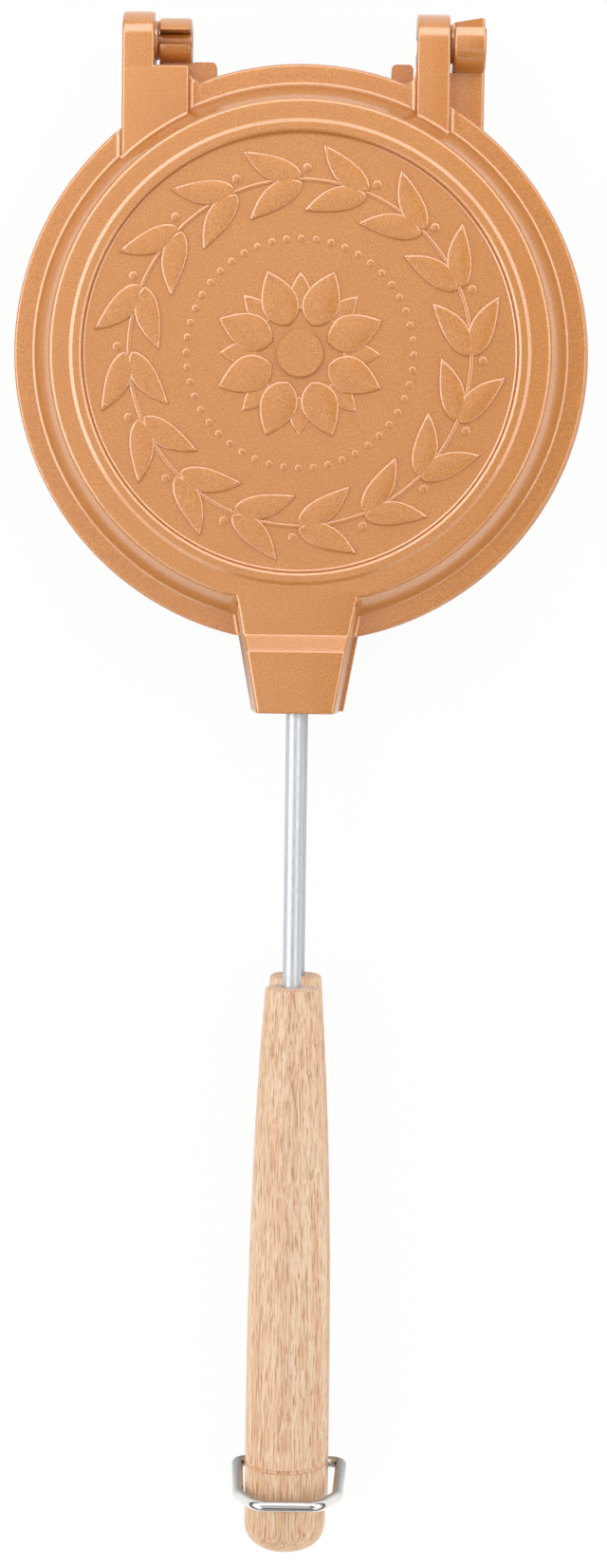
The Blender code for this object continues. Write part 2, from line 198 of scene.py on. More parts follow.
# %% Rounded outline
def rounded(corners, closed=False, arc_steps=6):
    """Points of a polyline of (x, y, radius) whose corners are arcs tangent to both sides."""
    corners = [(Vector(c[:2]), c[2]) for c in corners]
    count = len(corners)
    points = []
    for i, (corner, radius) in enumerate(corners):
        if radius <= 0.0 or (not closed and i in (0, count - 1)):
            points.append(tuple(corner))
            continue
        back = (corners[i - 1][0] - corner).normalized()
        ahead = (corners[(i + 1) % count][0] - corner).normalized()
        half = back.angle(ahead) / 2
        if math.pi / 2 - half < 1e-4:
            points.append(tuple(corner))
            continue
        centre = corner + (back + ahead).normalized() * radius / math.sin(half)
        start = corner + back * radius / math.tan(half) - centre
        end = corner + ahead * radius / math.tan(half) - centre
        for k in range(arc_steps + 1):
            points.append(tuple(centre + start.slerp(end, k / arc_steps) * radius))
    return np.array(points)


def finer(points, longest):
    """The same polyline with no side longer than a limit."""
    sides = np.diff(points, axis=0)
    cuts = np.maximum(1, np.ceil(np.linalg.norm(sides, axis=1) / longest)).astype(int)
    which = np.repeat(np.arange(len(sides)), cuts)
    first = np.cumsum(cuts) - cuts
    share = (np.arange(cuts.sum()) - first[which]) / cuts[which]
    return np.vstack([points[which] + sides[which] * share[:, None], points[-1:]])


def turned_rings(profile, segments):
    """Rings of a turned form from (radius, height) points: (r cos a, r sin a, h)."""
    angle = np.linspace(0.0, math.tau, segments, endpoint=False)
    radius, height = profile[:, :1], profile[:, 1:]
    return np.stack(
        [radius * np.cos(angle), radius * np.sin(angle), height + 0.0 * angle], axis=-1
    )


def at_height(flat, height):
    """Flat points (x, y) lifted to one height: (x, y, height)."""
    return np.column_stack([flat, np.full(len(flat), height)])


square = rounded([(0.0, 0.0, 0.1), (1.0, 0.0, 0.1), (1.0, 1.0, 0.1), (0.0, 1.0, 0.1)], closed=True)
print("a square with round corners has", len(square), "points")

# %% [markdown]
# ## Colours and nodes
# Colours are written as sRGB hex values, the way they look on a screen. Blender's shaders work in
# linear light, so one function turns them over. A material is a tree of nodes, and one small
# function adds a node, fills its inputs and hands on one of its outputs. Inputs go by name, but a
# Mix node has its A and B once for each kind of data: 6 and 7 are the two colours, 0 is the share
# of the second, and output 2 is the mixed colour.

# %% Colour and node helpers
def linear(hex_colour):
    """Linear RGBA of an sRGB hex value: c / 12.92 below 0.04045, else ((c + 0.055) / 1.055)^2.4."""
    levels = [int(hex_colour[i : i + 2], 16) / 255.0 for i in (1, 3, 5)]
    turned = [c / 12.92 if c <= 0.04045 else ((c + 0.055) / 1.055) ** 2.4 for c in levels]
    return (*turned, 1.0)


def add_node(tree, kind, inputs=None, output=0, **settings):
    """Adds a node with its settings, its inputs as values or links, and gives one output."""
    made = tree.nodes.new(f"ShaderNode{kind}")
    for name, value in settings.items():
        setattr(made, name, value)
    for name, value in (inputs or {}).items():
        if isinstance(value, bpy.types.NodeSocket):
            tree.links.new(value, made.inputs[name])
        else:
            made.inputs[name].default_value = value
    return made.outputs[output] if len(made.outputs) else None


def new_material(name):
    """An empty material and its node tree."""
    made = bpy.data.materials.new(name)
    made.use_nodes = True
    made.node_tree.nodes.clear()
    return made, made.node_tree


print("half grey on the screen is", round(linear("#808080")[0], 3), "in linear light")

# %% [markdown]
# ## Copper-coloured coat
# The castings are aluminium, blasted with fine beads and sprayed with a copper-coloured coat:
# metal flakes in a hard clear film. The flakes lie unevenly, which makes a wide satin sheen and a
# fine sparkle. The film over them is smooth, and shows what is bright around the iron as a pale
# line along every rounded edge. One metal shader would give the sheen or the lines, but not both,
# so the shader has a second layer, its coat. A noise swings mostly between 0.3 and 0.7, and a Map
# Range stretches that. The flakes are about 0.05 mm, too fine to show, and are drawn at 0.4 mm.

# %% Coat
GRAIN, CLOUD, BUMP = 0.0004, 0.0070, 0.00006
COAT_DARK, COAT_LIGHT, COAT_CLOUD = "#AC6625", "#D8964D", "#BF7936"


def make_coat():
    """Dark and light flakes by a fine noise, duller clouds by a slow one, and a clear film."""
    made, tree = new_material("copper_coloured_flake_coat")
    place = add_node(tree, "TexCoord", output="Object")
    grain = add_node(
        tree, "TexNoise", {"Vector": place, "Scale": 1.0 / GRAIN, "Detail": 3.0, "Roughness": 0.75}
    )
    cloud = add_node(
        tree, "TexNoise", {"Vector": place, "Scale": 1.0 / CLOUD, "Detail": 4.0, "Roughness": 0.6}
    )
    light = add_node(tree, "MapRange", {"Value": grain, "From Min": 0.32, "From Max": 0.68})
    flakes = add_node(
        tree, "Mix", {0: light, 6: linear(COAT_DARK), 7: linear(COAT_LIGHT)}, 2, data_type="RGBA"
    )
    dull = add_node(tree, "MapRange", {"Value": cloud, "From Min": 0.30, "From Max": 1.20})
    colour = add_node(tree, "Mix", {0: dull, 6: flakes, 7: linear(COAT_CLOUD)}, 2, data_type="RGBA")
    rough = add_node(
        tree,
        "MapRange",
        {"Value": grain, "From Min": 0.3, "From Max": 0.7, "To Min": 0.50, "To Max": 0.62},
    )
    flake_bump = add_node(tree, "Bump", {"Height": grain, "Strength": 0.35, "Distance": BUMP})
    film_bump = add_node(tree, "Bump", {"Height": grain, "Strength": 0.12, "Distance": BUMP})
    shader = {
        "Base Color": colour,
        "Metallic": 0.25,
        "Roughness": rough,
        "Specular IOR Level": 0.0,
        "Normal": flake_bump,
        "Coat Weight": 1.0,
        "Coat Roughness": 0.18,
        "Coat IOR": 1.8,
        "Coat Normal": film_bump,
    }
    add_node(tree, "OutputMaterial", {"Surface": add_node(tree, "BsdfPrincipled", shader)})
    return made


COAT = make_coat()
print("coat:", len(COAT.node_tree.nodes), "nodes")

# %% [markdown]
# ## Chromed wire and rod
# Both rods and the bail are bright chromed steel. Chrome is almost a mirror. Drawing the wire
# leaves fine lines along it, which blur what it reflects a little across them. An anisotropic
# shader could do that too, but it needs tangents along every piece. A noise that is stretched
# along Y gives the lines themselves, since both rods lie that way. Real lines are under 0.1 mm
# wide, and here they are drawn at 0.4 mm, so that they show.

# %% Chrome and plain steel
DRAW_LINE, LINE_DEPTH, SPOT = 0.0004, 0.00002, 0.0030
LINE_STRETCH = (1.0, 0.004, 1.0)


def make_metal(name, colour, roughness, line_strength):
    """A bright metal with long fine lines along Y, and soft spots where it is a little duller."""
    made, tree = new_material(name)
    place = add_node(tree, "TexCoord", output="Object")
    along = add_node(tree, "Mapping", {"Vector": place, "Scale": LINE_STRETCH})
    lines = add_node(
        tree, "TexNoise", {"Vector": along, "Scale": 1.0 / DRAW_LINE, "Detail": 2.0, "Roughness": 0.6}
    )
    spots = add_node(
        tree, "TexNoise", {"Vector": place, "Scale": 1.0 / SPOT, "Detail": 3.0, "Roughness": 0.6}
    )
    low, high = roughness * 0.8, roughness * 1.2
    rough = add_node(
        tree,
        "MapRange",
        {"Value": spots, "From Min": 0.3, "From Max": 0.7, "To Min": low, "To Max": high},
    )
    bump = {"Height": lines, "Strength": line_strength, "Distance": LINE_DEPTH}
    shader = {
        "Base Color": linear(colour),
        "Metallic": 1.0,
        "Roughness": rough,
        "Normal": add_node(tree, "Bump", bump),
    }
    add_node(tree, "OutputMaterial", {"Surface": add_node(tree, "BsdfPrincipled", shader)})
    return made


CHROME = make_metal("chromed_drawn_rod", "#B0B3B6", 0.50, 0.12)
WIRE_CHROME = make_metal("chromed_polished_wire", "#B8B6B3", 0.14, 0.03)
STEEL = make_metal("plain_steel", "#A9A9AC", 0.35, 0.2)
print("metals:", CHROME.name, WIRE_CHROME.name, STEEL.name)

# %% [markdown]
# ## Beech
# The handles are turned from beech, sanded fine and left without varnish. Beech is pale. Its
# vessels show as thin lines along the grain, and its rays as short dashes, some darker and some
# paler. Wider bands follow the yearly rings, and now and then one has a warmer edge. A picture
# wrapped round the handle would show a seam, and would smear over its end. So all of it is one
# solid pattern, stretched along the grain, which runs over the rounded end as cut wood does.
# Rays are 1 to 5 mm long. They and the vessels are about 0.1 mm wide, too fine to show, and so
# are drawn nearly 0.3 mm wide.

# %% Wood
FLECK_LENGTH, FLECK_WIDTH = 0.0046, 0.00026
VESSEL_LENGTH, VESSEL_WIDTH, PORE_DEPTH = 0.0140, 0.00028, 0.00008
RING_LENGTH, RING_WIDTH = 0.0900, 0.0036
WAVE_LENGTH, WAVE_HEIGHT = 0.0120, 0.0010
BEECH_WARM, BEECH_PALE, BEECH_LINE = "#E9B98E", "#F2D2AD", "#CB966C"
BEECH_GLEAM, BEECH_FLECK = "#F4DDC2", "#BA8156"


def make_beech():
    """Layers of stretched noise, each mixed over the last where its own values are high."""
    made, tree = new_material("sanded_beech")
    straight = add_node(tree, "TexCoord", output="Object")
    wave = {"Vector": straight, "Scale": 1.0 / WAVE_LENGTH, "Detail": 2.0, "Roughness": 0.6}
    swing = {0: add_node(tree, "TexNoise", wave), 1: WAVE_HEIGHT, 2: -WAVE_HEIGHT / 2}
    sway = add_node(tree, "Math", swing, operation="MULTIPLY_ADD")
    aside = add_node(tree, "CombineXYZ", {"X": sway, "Z": sway})
    place = add_node(tree, "VectorMath", {0: straight, 1: aside}, operation="ADD")
    textures = []
    for width, length, shift, scale, detail in (
        (FLECK_WIDTH, FLECK_LENGTH, 0.0, 0.7, 1.0),
        (FLECK_WIDTH, FLECK_LENGTH, 7.3, 0.6, 1.0),
        (VESSEL_WIDTH, VESSEL_LENGTH, 0.0, 0.8, 2.0),
        (RING_WIDTH, RING_LENGTH, 0.0, 1.0, 3.0),
    ):
        count = (1.0 / width, 1.0 / length, 1.0 / width)
        moved = {"Vector": place, "Location": (shift, shift, shift), "Scale": count}
        grained = add_node(tree, "Mapping", moved)
        noise = {"Vector": grained, "Scale": scale, "Detail": detail, "Roughness": 0.6}
        textures.append(add_node(tree, "TexNoise", noise))
    dashes, pale_dashes, vessels, bands = textures
    warm_edge = add_node(tree, "Math", {0: bands, 1: 0.47, 2: 0.006}, operation="COMPARE")
    colour = linear(BEECH_WARM)
    for texture, low, high, most, tint in (
        (bands, 0.36, 0.62, 1.0, BEECH_PALE),
        (warm_edge, 0.0, 1.0, 0.5, BEECH_FLECK),
        (vessels, 0.50, 0.66, 0.75, BEECH_LINE),
        (pale_dashes, 0.54, 0.64, 0.6, BEECH_GLEAM),
        (dashes, 0.55, 0.64, 0.8, BEECH_FLECK),
    ):
        stretched = {"Value": texture, "From Min": low, "From Max": high, "To Max": most}
        layers = {0: add_node(tree, "MapRange", stretched), 6: colour, 7: linear(tint)}
        colour = add_node(tree, "Mix", layers, 2, data_type="RGBA")
    shader = {
        "Base Color": colour,
        "Roughness": 0.55,
        "IOR": 1.5,
        "Sheen Weight": 0.2,
        "Sheen Roughness": 0.4,
        "Normal": add_node(tree, "Bump", {"Height": vessels, "Strength": 0.3, "Distance": PORE_DEPTH}),
    }
    add_node(tree, "OutputMaterial", {"Surface": add_node(tree, "BsdfPrincipled", shader)})
    return made


BEECH = make_beech()
print("beech:", len(BEECH.node_tree.nodes), "nodes")

# %% [markdown]
# ## The medallion
# A medallion lies in the field of each pan, in flat low relief, as a mould leaves it: flat-topped
# forms with crisp rims. Here it is a closed garland of paired leaves with berries, a ring of
# small flat studs, and a rosette of petals. Relief from a bump in the material would vanish from
# the exported mesh, so each leaf is a small shell of its own. Its outline is drawn in a little as
# it rises, more at its points than at its sides, and on top it folds down to a shallow valley
# along the middle. Every shell starts a little under the field, and so stands closed in it.

# %% Leaves, studs and bands
RELIEF, BURIED = 0.0007, 0.0003
LEAF_FOOT_SPREAD, LEAF_VALLEY, POINT_DRAW = 0.00012, 0.00012, 1.6
LEAF_RIM = ((0.00028, 0.0), (0.00015, 0.00006), (0.00004, 0.00028), (0.0, 0.00042))
STUD_SLOPE_WIDTH, STUD_SLOPE_DROP = 0.00025, 0.0001


def leaf_outline(length, width, bend, drawn_in=0.0, folded=False):
    """Half-width w/2 sin(pi s^0.75)^0.85 on each side of a midline that bows 4 b s (1 - s)."""
    share = np.linspace(0.0, 1.0, 19)
    half = width / 2 * np.sin(math.pi * share**0.75).clip(0.0) ** 0.85
    half = np.maximum(half - drawn_in, 0.0) * (0.0 if folded else 1.0)
    point = drawn_in * POINT_DRAW
    along = point + (length - 2.0 * point) * share
    middle = 4.0 * bend * share * (1.0 - share)
    left = np.column_stack([along, middle + half])
    right = np.column_stack([along, middle - half])[::-1]
    return np.vstack([left, right])


def leaf_shell(root, heading, length, width, bend, rise):
    """A leaf on the field: foot, wall, drawn-in rims of (drop, inset), and the folded middle."""
    steps = [(-BURIED, -LEAF_FOOT_SPREAD, False), (0.0, -LEAF_FOOT_SPREAD, False)]
    steps += [(rise - drop, drawn_in, False) for drop, drawn_in in LEAF_RIM]
    steps += [(rise - LEAF_VALLEY, LEAF_RIM[-1][1], True)]
    cos, sin = math.cos(heading), math.sin(heading)
    turn = np.array([[cos, sin], [-sin, cos]])
    rings = []
    for height, drawn_in, folded in steps:
        flat = leaf_outline(length, width, bend, drawn_in, folded) @ turn + np.array(root)
        rings.append(at_height(flat, FIELD_HEIGHT + height))
    return shell(np.array(rings), caps=(True, False))


def around(radius, angle):
    """A point on a circle about the pan's axis: (r cos a, r sin a)."""
    return (radius * math.cos(angle), radius * math.sin(angle))


def stud_shell(place, radius, rise):
    """A low round stud: an upright wall, a sloping rim and a flat top."""
    outline = [(radius, -BURIED), (radius, rise - STUD_SLOPE_DROP)]
    outline += [(radius - STUD_SLOPE_WIDTH, rise), (0.0, rise)]
    outline = np.array(outline) + np.array([0.0, FIELD_HEIGHT])
    return shell(turned_rings(outline, 20) + np.array([*place, 0.0]))


def band_shell(inner, outer, rise, edge=0.00026, drop=0.00012, segments=256):
    """A flat ring that stands on the field, with both its rims sloping in."""
    low, high = FIELD_HEIGHT - BURIED, FIELD_HEIGHT + rise
    outline = [(outer, low), (outer, high - drop), (outer - edge, high), (inner + edge, high)]
    outline += [(inner, high - drop), (inner, low), (outer, low)]
    return shell(turned_rings(np.array(outline), segments), caps=(False, False))


print("a leaf's outline has", len(leaf_outline(1.0, 0.5, 0.0)), "points")

# %% Garland and rosette
GARLAND_RADIUS, PAIRS, STEM_HALF_WIDTH, STEM_RISE = 0.0445, 16, 0.00045, 0.00045
LEAF_LENGTH, LEAF_WIDTH, LEAF_BOW, STEM_OFFSET = 0.0165, 0.0064, 0.0009, 0.0007
LEAF_TILTS = {-1: math.radians(36.0), 1: math.radians(22.0)}
BERRY_RADIUS, BERRY_RISE, BERRY_OFFSET, BERRY_SHARE = 0.0011, 0.0004, 0.0030, 0.93
PETALS, PETAL_ROOT, PETAL_LENGTH, PETAL_WIDTH = 8, 0.0078, 0.0150, 0.0096
SEPAL_ROOT, SEPAL_LENGTH, SEPAL_WIDTH, SEPAL_RELIEF = 0.0110, 0.0100, 0.0056, RELIEF * 0.6
BUTTON_RADIUS, BUTTON_SLOPE = 0.0062, 0.0003
STUDS, STUD_CIRCLE, STUD_RADIUS, STUD_RISE = 48, 0.0295, 0.0009, 0.0003


def garland_shells():
    """A ring with a pair of leaves at each step, tilted out to either side, and a berry between."""
    inner, outer = GARLAND_RADIUS - STEM_HALF_WIDTH, GARLAND_RADIUS + STEM_HALF_WIDTH
    shells = [band_shell(inner, outer, STEM_RISE)]
    for i in range(PAIRS):
        angle = math.tau * i / PAIRS
        for side, tilt in LEAF_TILTS.items():
            root = around(GARLAND_RADIUS + side * STEM_OFFSET, angle)
            heading = angle + math.pi / 2 - side * tilt
            bow = side * LEAF_BOW
            shells.append(leaf_shell(root, heading, LEAF_LENGTH, LEAF_WIDTH, bow, RELIEF))
        berry = around(GARLAND_RADIUS + BERRY_OFFSET, angle + math.tau / PAIRS * BERRY_SHARE)
        shells.append(stud_shell(berry, BERRY_RADIUS, BERRY_RISE))
    return shells


def rosette_shells():
    """Low sepals, petals half a step round from them, a button, and a circle of studs."""
    shells = []
    for turn, start, *size, rise in (
        (0.0, SEPAL_ROOT, SEPAL_LENGTH, SEPAL_WIDTH, 0.0, SEPAL_RELIEF),
        (0.5, PETAL_ROOT, PETAL_LENGTH, PETAL_WIDTH, 0.0, RELIEF),
    ):
        for i in range(PETALS):
            angle = math.tau * (i + turn) / PETALS
            shells.append(leaf_shell(around(start, angle), angle, *size, rise))
    button = [(BUTTON_RADIUS, FIELD_HEIGHT - BURIED), (BUTTON_RADIUS, FACE_HEIGHT - BUTTON_SLOPE)]
    button += [(BUTTON_RADIUS - BUTTON_SLOPE, FACE_HEIGHT - HAIR), (0.0, FACE_HEIGHT - HAIR)]
    shells.append(shell(turned_rings(np.array(button), 96)))
    for i in range(STUDS):
        place = around(STUD_CIRCLE, math.tau * i / STUDS)
        shells.append(stud_shell(place, STUD_RADIUS, STUD_RISE))
    return shells


for half, body, where, _ in HALVES:
    for name, shells in (("garland", garland_shells()), ("rosette", rosette_shells())):
        moved = [(placed(points, where), faces) for points, faces in shells]
        dressed(built(f"{half}_{name}", moved, MEDALLION_SHARP), COAT, body, f"{half}_plate")
print("relief", round(1000 * RELIEF, 2), "mm high, garland of", len(garland_shells()), "shells")

# %% [markdown]
# ## The pans
# Each pan is a turned form: a field for the medallion inside a fine low line, a raised ring, a
# flat platform, a steep bevel, a flange, and the hollow for the bread on the other side. It could
# be a stack of cylinders, but their seams would show as sharp lines. One outline from the axis
# round to the axis makes all of it, inside and out, with a radius at every corner.

# %% Pans
def pan_profile():
    """Outline of the section: field, ring, platform, bevel, flange, parting face and hollow."""
    corners = [
        (0.0, FIELD_HEIGHT, 0.0),
        (FIELD_RADIUS, FIELD_HEIGHT, 0.0002),
        # The fine line round the field, 0.2 mm high.
        (FIELD_RADIUS + 0.00040, FIELD_HEIGHT + 0.00020, 0.00005),
        (FIELD_RADIUS + 0.00055, FIELD_HEIGHT + HAIR, 0.00003),
        # The raised ring, with a sloping rim on either side.
        (RING_INNER - 0.00055, FACE_HEIGHT - 0.00024, 0.00010),
        (RING_INNER, FACE_HEIGHT, 0.0002),
        (RING_OUTER - 0.0009, FACE_HEIGHT, 0.0003),
        (RING_OUTER, PLATFORM_HEIGHT, 0.0002),
        # Platform, bevel and flange.
        (PLATFORM_RADIUS, PLATFORM_HEIGHT, 0.0018),
        (FOOT_RADIUS, FLANGE_HEIGHT, 0.0016),
        (FLANGE_RADIUS, FLANGE_HEIGHT, 0.0008),
        (FLANGE_RADIUS, HALF_GAP, 0.0003),
        # The hollow, back to the axis.
        (HOLLOW_MOUTH, HALF_GAP, 0.0004),
        (HOLLOW_FLOOR, HOLLOW_DEPTH, 0.0022),
        (0.0, HOLLOW_DEPTH, 0.0),
    ]
    return finer(rounded(corners, arc_steps=7), 0.0030)


for half, body, where, _ in HALVES:
    pan = stacked(f"{half}_pan", placed(turned_rings(pan_profile(), 360), where))
    dressed(pan, COAT, body, f"{half}_plate")
print("pan outline has", len(pan_profile()), "points")

# %% [markdown]
# ## Neck and boss
# The platform runs out into a neck, which rises over a short slope to the boss that grips the
# rod. It could be a box that is bevelled and scaled at one end, but its sides taper and lean at
# once. It is a loft instead: a rounded section, drawn once, is carried along -Y while its width
# and height follow the outline seen from above and from the side. Its underside keeps inside the
# pan's wall, so that it doesn't show in the hollow.

# %% Neck and boss
BOSS_REACH, BOSS_HEIGHT, BOSS_HALF_WIDTH = 0.0933, 0.0154, 0.0119
NECK_REACH, NECK_HALF_WIDTH = 0.0690, 0.0163
NECK_TAPER = (NECK_HALF_WIDTH - BOSS_HALF_WIDTH) / (BOSS_REACH - NECK_REACH)
DRAFT = 0.0017 / BOSS_HEIGHT
SLOPE_START, SLOPE_END, NECK_START = 0.0728, 0.0772, 0.0612
HOLLOW_LEAN = (HOLLOW_MOUTH - HOLLOW_FLOOR) / (HOLLOW_DEPTH - HALF_GAP)
WALL_COVER, FLOOR_COVER = 0.0005, 0.0007
END_ROUND = 0.0003


def neck_half_width(reach, height):
    """w + taper (end - reach) at the parting plane, less draft x height above it."""
    return BOSS_HALF_WIDTH + NECK_TAPER * (BOSS_REACH - reach) - DRAFT * height


def boss_side_view():
    """Upper edge from the side, (reach, height): it comes out of the platform and rises once."""
    corners = [
        (NECK_START - 0.0007, PLATFORM_HEIGHT - 0.0006, 0.0),
        (NECK_START, PLATFORM_HEIGHT + HAIR, 0.0),
        (SLOPE_START, PLATFORM_HEIGHT + HAIR, 0.0009),
        (SLOPE_END, BOSS_HEIGHT, 0.0009),
        (BOSS_REACH, BOSS_HEIGHT, 0.0005),
        (BOSS_REACH, HALF_GAP, 0.0),
    ]
    # The last corner only gives the one before it something to round towards, and is left off.
    return finer(rounded(corners, arc_steps=7)[:-1], 0.0010)


def boss_rings():
    """Sections along the boss: a trapezium with rounded upper corners, closed below."""
    rings = []
    for reach, height in boss_side_view():
        over_wall = (HOLLOW_MOUTH + WALL_COVER - reach) / HOLLOW_LEAN
        floor = min(max(UNDERSIDE, over_wall), HOLLOW_DEPTH + FLOOR_COVER)
        past = max(0.0, reach - (BOSS_REACH - END_ROUND))
        drawn_in = END_ROUND - math.sqrt(max(0.0, END_ROUND**2 - past**2))
        low = neck_half_width(reach, 0.0) - drawn_in
        high = neck_half_width(reach, height) - drawn_in
        corners = [(-low, floor, 0.0002), (low, floor, 0.0002)]
        corners += [(high, height, 0.0013), (-high, height, 0.0013)]
        section = rounded(corners, closed=True)
        rings.append(np.insert(section, 1, -reach, axis=1))
    return np.array(rings)


for half, body, where, _ in HALVES:
    boss = stacked(f"{half}_boss", placed(boss_rings(), where))
    dressed(boss, COAT, body, f"{half}_plate")
print("boss in", len(boss_rings()), "sections")

# %% [markdown]
# ## Hinge arms and hooks
# On one side each half has an arm with a pin, and on the other a hook with a slot. The arm's end
# is cut away in a step, and on the lower half the step's edge slants. Cutting slot and step with
# booleans would leave them sharp, and the edges here are round. But arm and hook are flat plates
# seen from the side, so each is an outline carried across its width, drawn in a little at both
# faces. The outline is worked out anew for each inset, so that it never folds over itself.

# %% Outlines of the hinge
ARM_RADIUS, ROOT, PLATE_EDGE = 0.00735, 0.0450, 0.0008
STEP_OFFSET, STEP_DEPTH, TIP_SLANT = 0.0031, 0.0015, 0.35
SLOT_HALF_WIDTH = 0.00185
# Each half's hook: its radius, and the radius of its edges.
HOOKS = {"upper": (ARM_RADIUS, 0.0006), "lower": (0.0057, 0.0009)}
SKIN = 0.000004
FOOT_END, FOOT_CORNER, FOOT_TOP = 0.0740, 0.0006, ARM_RADIUS + SKIN


def arc_points(radius, start_deg, end_deg, steps=18):
    """Points of an arc about the hinge axis, in (reach, height)."""
    angle = np.radians(np.linspace(start_deg, end_deg, steps + 1))
    return np.stack([HINGE_REACH + radius * np.cos(angle), radius * np.sin(angle)], axis=-1)


def arm_outline(inset):
    """Side of an arm: straight to the axis, round past it, and stepped on the far side."""
    radius, low = ARM_RADIUS - inset, UNDERSIDE + inset
    step_reach, step_height = STEP_OFFSET - inset, STEP_DEPTH + inset
    lip = 270.0 + math.degrees(math.asin(step_reach / radius))
    step = math.degrees(math.asin(step_height / radius))
    start = 180.0 - math.degrees(math.asin(low / radius))
    return np.vstack(
        [
            [(ROOT, radius), (ROOT, low)],
            arc_points(radius, start, lip),
            [(HINGE_REACH + step_reach, step_height)],
            arc_points(radius, step, 90.0),
        ]
    )


def hook_outline(full_radius, inset):
    """Side of a hook: an eye round the axis, with a straight slot towards the other half."""
    radius, slot, low = full_radius - inset, SLOT_HALF_WIDTH + inset, UNDERSIDE + inset
    mouth = math.degrees(math.asin(slot / radius))
    start = 180.0 - math.degrees(math.asin(low / radius))
    return np.vstack(
        [
            [(ROOT, radius), (ROOT, low)],
            arc_points(radius, start, 270.0 - mouth),
            arc_points(slot, 180.0, 0.0, 12),
            arc_points(radius, 270.0 + mouth, 450.0),
        ]
    )


def foot_outline(inset):
    """Side of the broad foot that the arm stands on: it covers the arm's own root by a skin."""
    low, top, end = UNDERSIDE + HAIR + inset, FOOT_TOP - inset, FOOT_END - inset
    corner = max(FOOT_CORNER - inset, HAIR)
    corners = [(ROOT, top, 0.0), (ROOT, low, 0.0), (end, low, 0.0), (end, top, corner)]
    return rounded(corners, closed=True)


def round_outline(full_radius, inset):
    """A circle about the hinge axis."""
    return arc_points(full_radius - inset, 0.0, 350.0, 35)


print("an arm's outline has", len(arm_outline(0.0)), "points")

# %% Arms, hooks and pins
ARM_OUTER, ARM_INNER, FOOT_INNER = -0.0472, -0.0388, -0.0297
HOOK_INNER, HOOK_OUTER = 0.0293, 0.0379
PIN_RADIUS, PIN_START, PIN_END, PIN_EDGE = 0.00165, -0.0398, -0.0294, 0.0003
COLLAR_RADIUS, COLLAR_START, COLLAR_END, COLLAR_EDGE = 0.0050, -0.0392, -0.0381, 0.0002
LUG_ROOT = 0.0680


def slab_rings(outline_at, low, high, edge, steps=5):
    """Rings of a plate across x with quarter-round rims: outline_at(d) is its outline less d."""
    angle = np.linspace(0.0, math.pi / 2, steps + 1)
    inset = edge * (1.0 - np.sin(angle))
    out = edge * (1.0 - np.cos(angle))
    places = np.concatenate([low + out, high - out[::-1]])
    insets = np.concatenate([inset, inset[::-1]])
    outlines = [np.insert(outline_at(d), 0, place, axis=1) for place, d in zip(places, insets)]
    return np.array(outlines)


for half, body, where, shift in HALVES:
    hook_radius, hook_edge = HOOKS[half]
    plates = (
        ("arm", arm_outline, ARM_OUTER, ARM_INNER, PLATE_EDGE),
        ("arm_foot", foot_outline, ARM_OUTER - SKIN, FOOT_INNER, PLATE_EDGE),
        ("hook", partial(hook_outline, hook_radius), HOOK_INNER, HOOK_OUTER, hook_edge),
        ("hinge_pin", partial(round_outline, PIN_RADIUS), PIN_START, PIN_END, PIN_EDGE),
        ("pin_collar", partial(round_outline, COLLAR_RADIUS), COLLAR_START, COLLAR_END, COLLAR_EDGE),
    )
    for name, outline_at, low, high, edge in plates:
        rings = slab_rings(outline_at, low + shift, high + shift, edge)
        # The root ends on a circle within the pan's wall, so that it doesn't show in the hollow.
        rings[..., 1] = np.maximum(rings[..., 1], np.sqrt(LUG_ROOT**2 - rings[..., 0] ** 2))
        if (half, name) == ("lower", "arm"):
            ledge = np.maximum(rings[..., 1] - HINGE_REACH - STEP_OFFSET, 0.0)
            rings[..., 1] -= TIP_SLANT * ledge * (rings[..., 0] - low - shift) / (high - low)
        dressed(stacked(f"{half}_{name}", placed(rings, where)), COAT, body, f"{half}_plate")
print("hinge axis", round(1000 * HINGE_REACH, 1), "mm behind the pans' axis")

# %% [markdown]
# ## Fillets
# Where two surfaces of a casting meet in a hollow corner, the mould leaves a fillet, and the light
# gathers in it as a bright line. Joining all forms with a boolean and bevelling the seam would be
# fragile, since many faces meet there. So a fillet is a strip along the corner. Its section runs
# from one surface to the other as a curve that touches both, and a buried point closes it
# underneath. Beside a lug, the flange's rim widens into a thin web that ends the fillet.

# %% Fillet strip
STRIP_DEPTH = 0.0004


def unit(vectors):
    """Vectors divided by their lengths."""
    return vectors / np.linalg.norm(vectors, axis=-1, keepdims=True)


def fillet_shell(corner, up, out, rise, run, steps=7):
    """Section (1-t)^2 (P + rise a) + 2t(1-t) P + t^2 (P + run b), between two surfaces."""
    up, out = (unit(np.broadcast_to(way, corner.shape))[:, None, :] for way in (up, out))
    rise, run = (np.broadcast_to(size, len(corner))[:, None, None] for size in (rise, run))
    corner = corner[:, None, :]
    t = np.linspace(0.0, 1.0, steps + 1)[None, :, None]
    start, end = corner + rise * up, corner + run * out
    curve = (1 - t) ** 2 * start + 2 * t * (1 - t) * corner + t**2 * end
    buried = corner - STRIP_DEPTH * unit(up + out)
    return shell(np.concatenate([curve, buried], axis=1))


print("a fillet runs", round(1000 * STRIP_DEPTH, 1), "mm into the metal")

# %% Webs beside the hinge lugs
RIM_ROUND = 0.0003
WEB_WIDTH = 0.0038
WEB_RIM = ((0.0008, 0.0), (0.0003, 0.0002), (HAIR, 0.0006))
INTO_LUG, INTO_RIM, OVERLAP = 0.0010, 0.0030, 0.0005


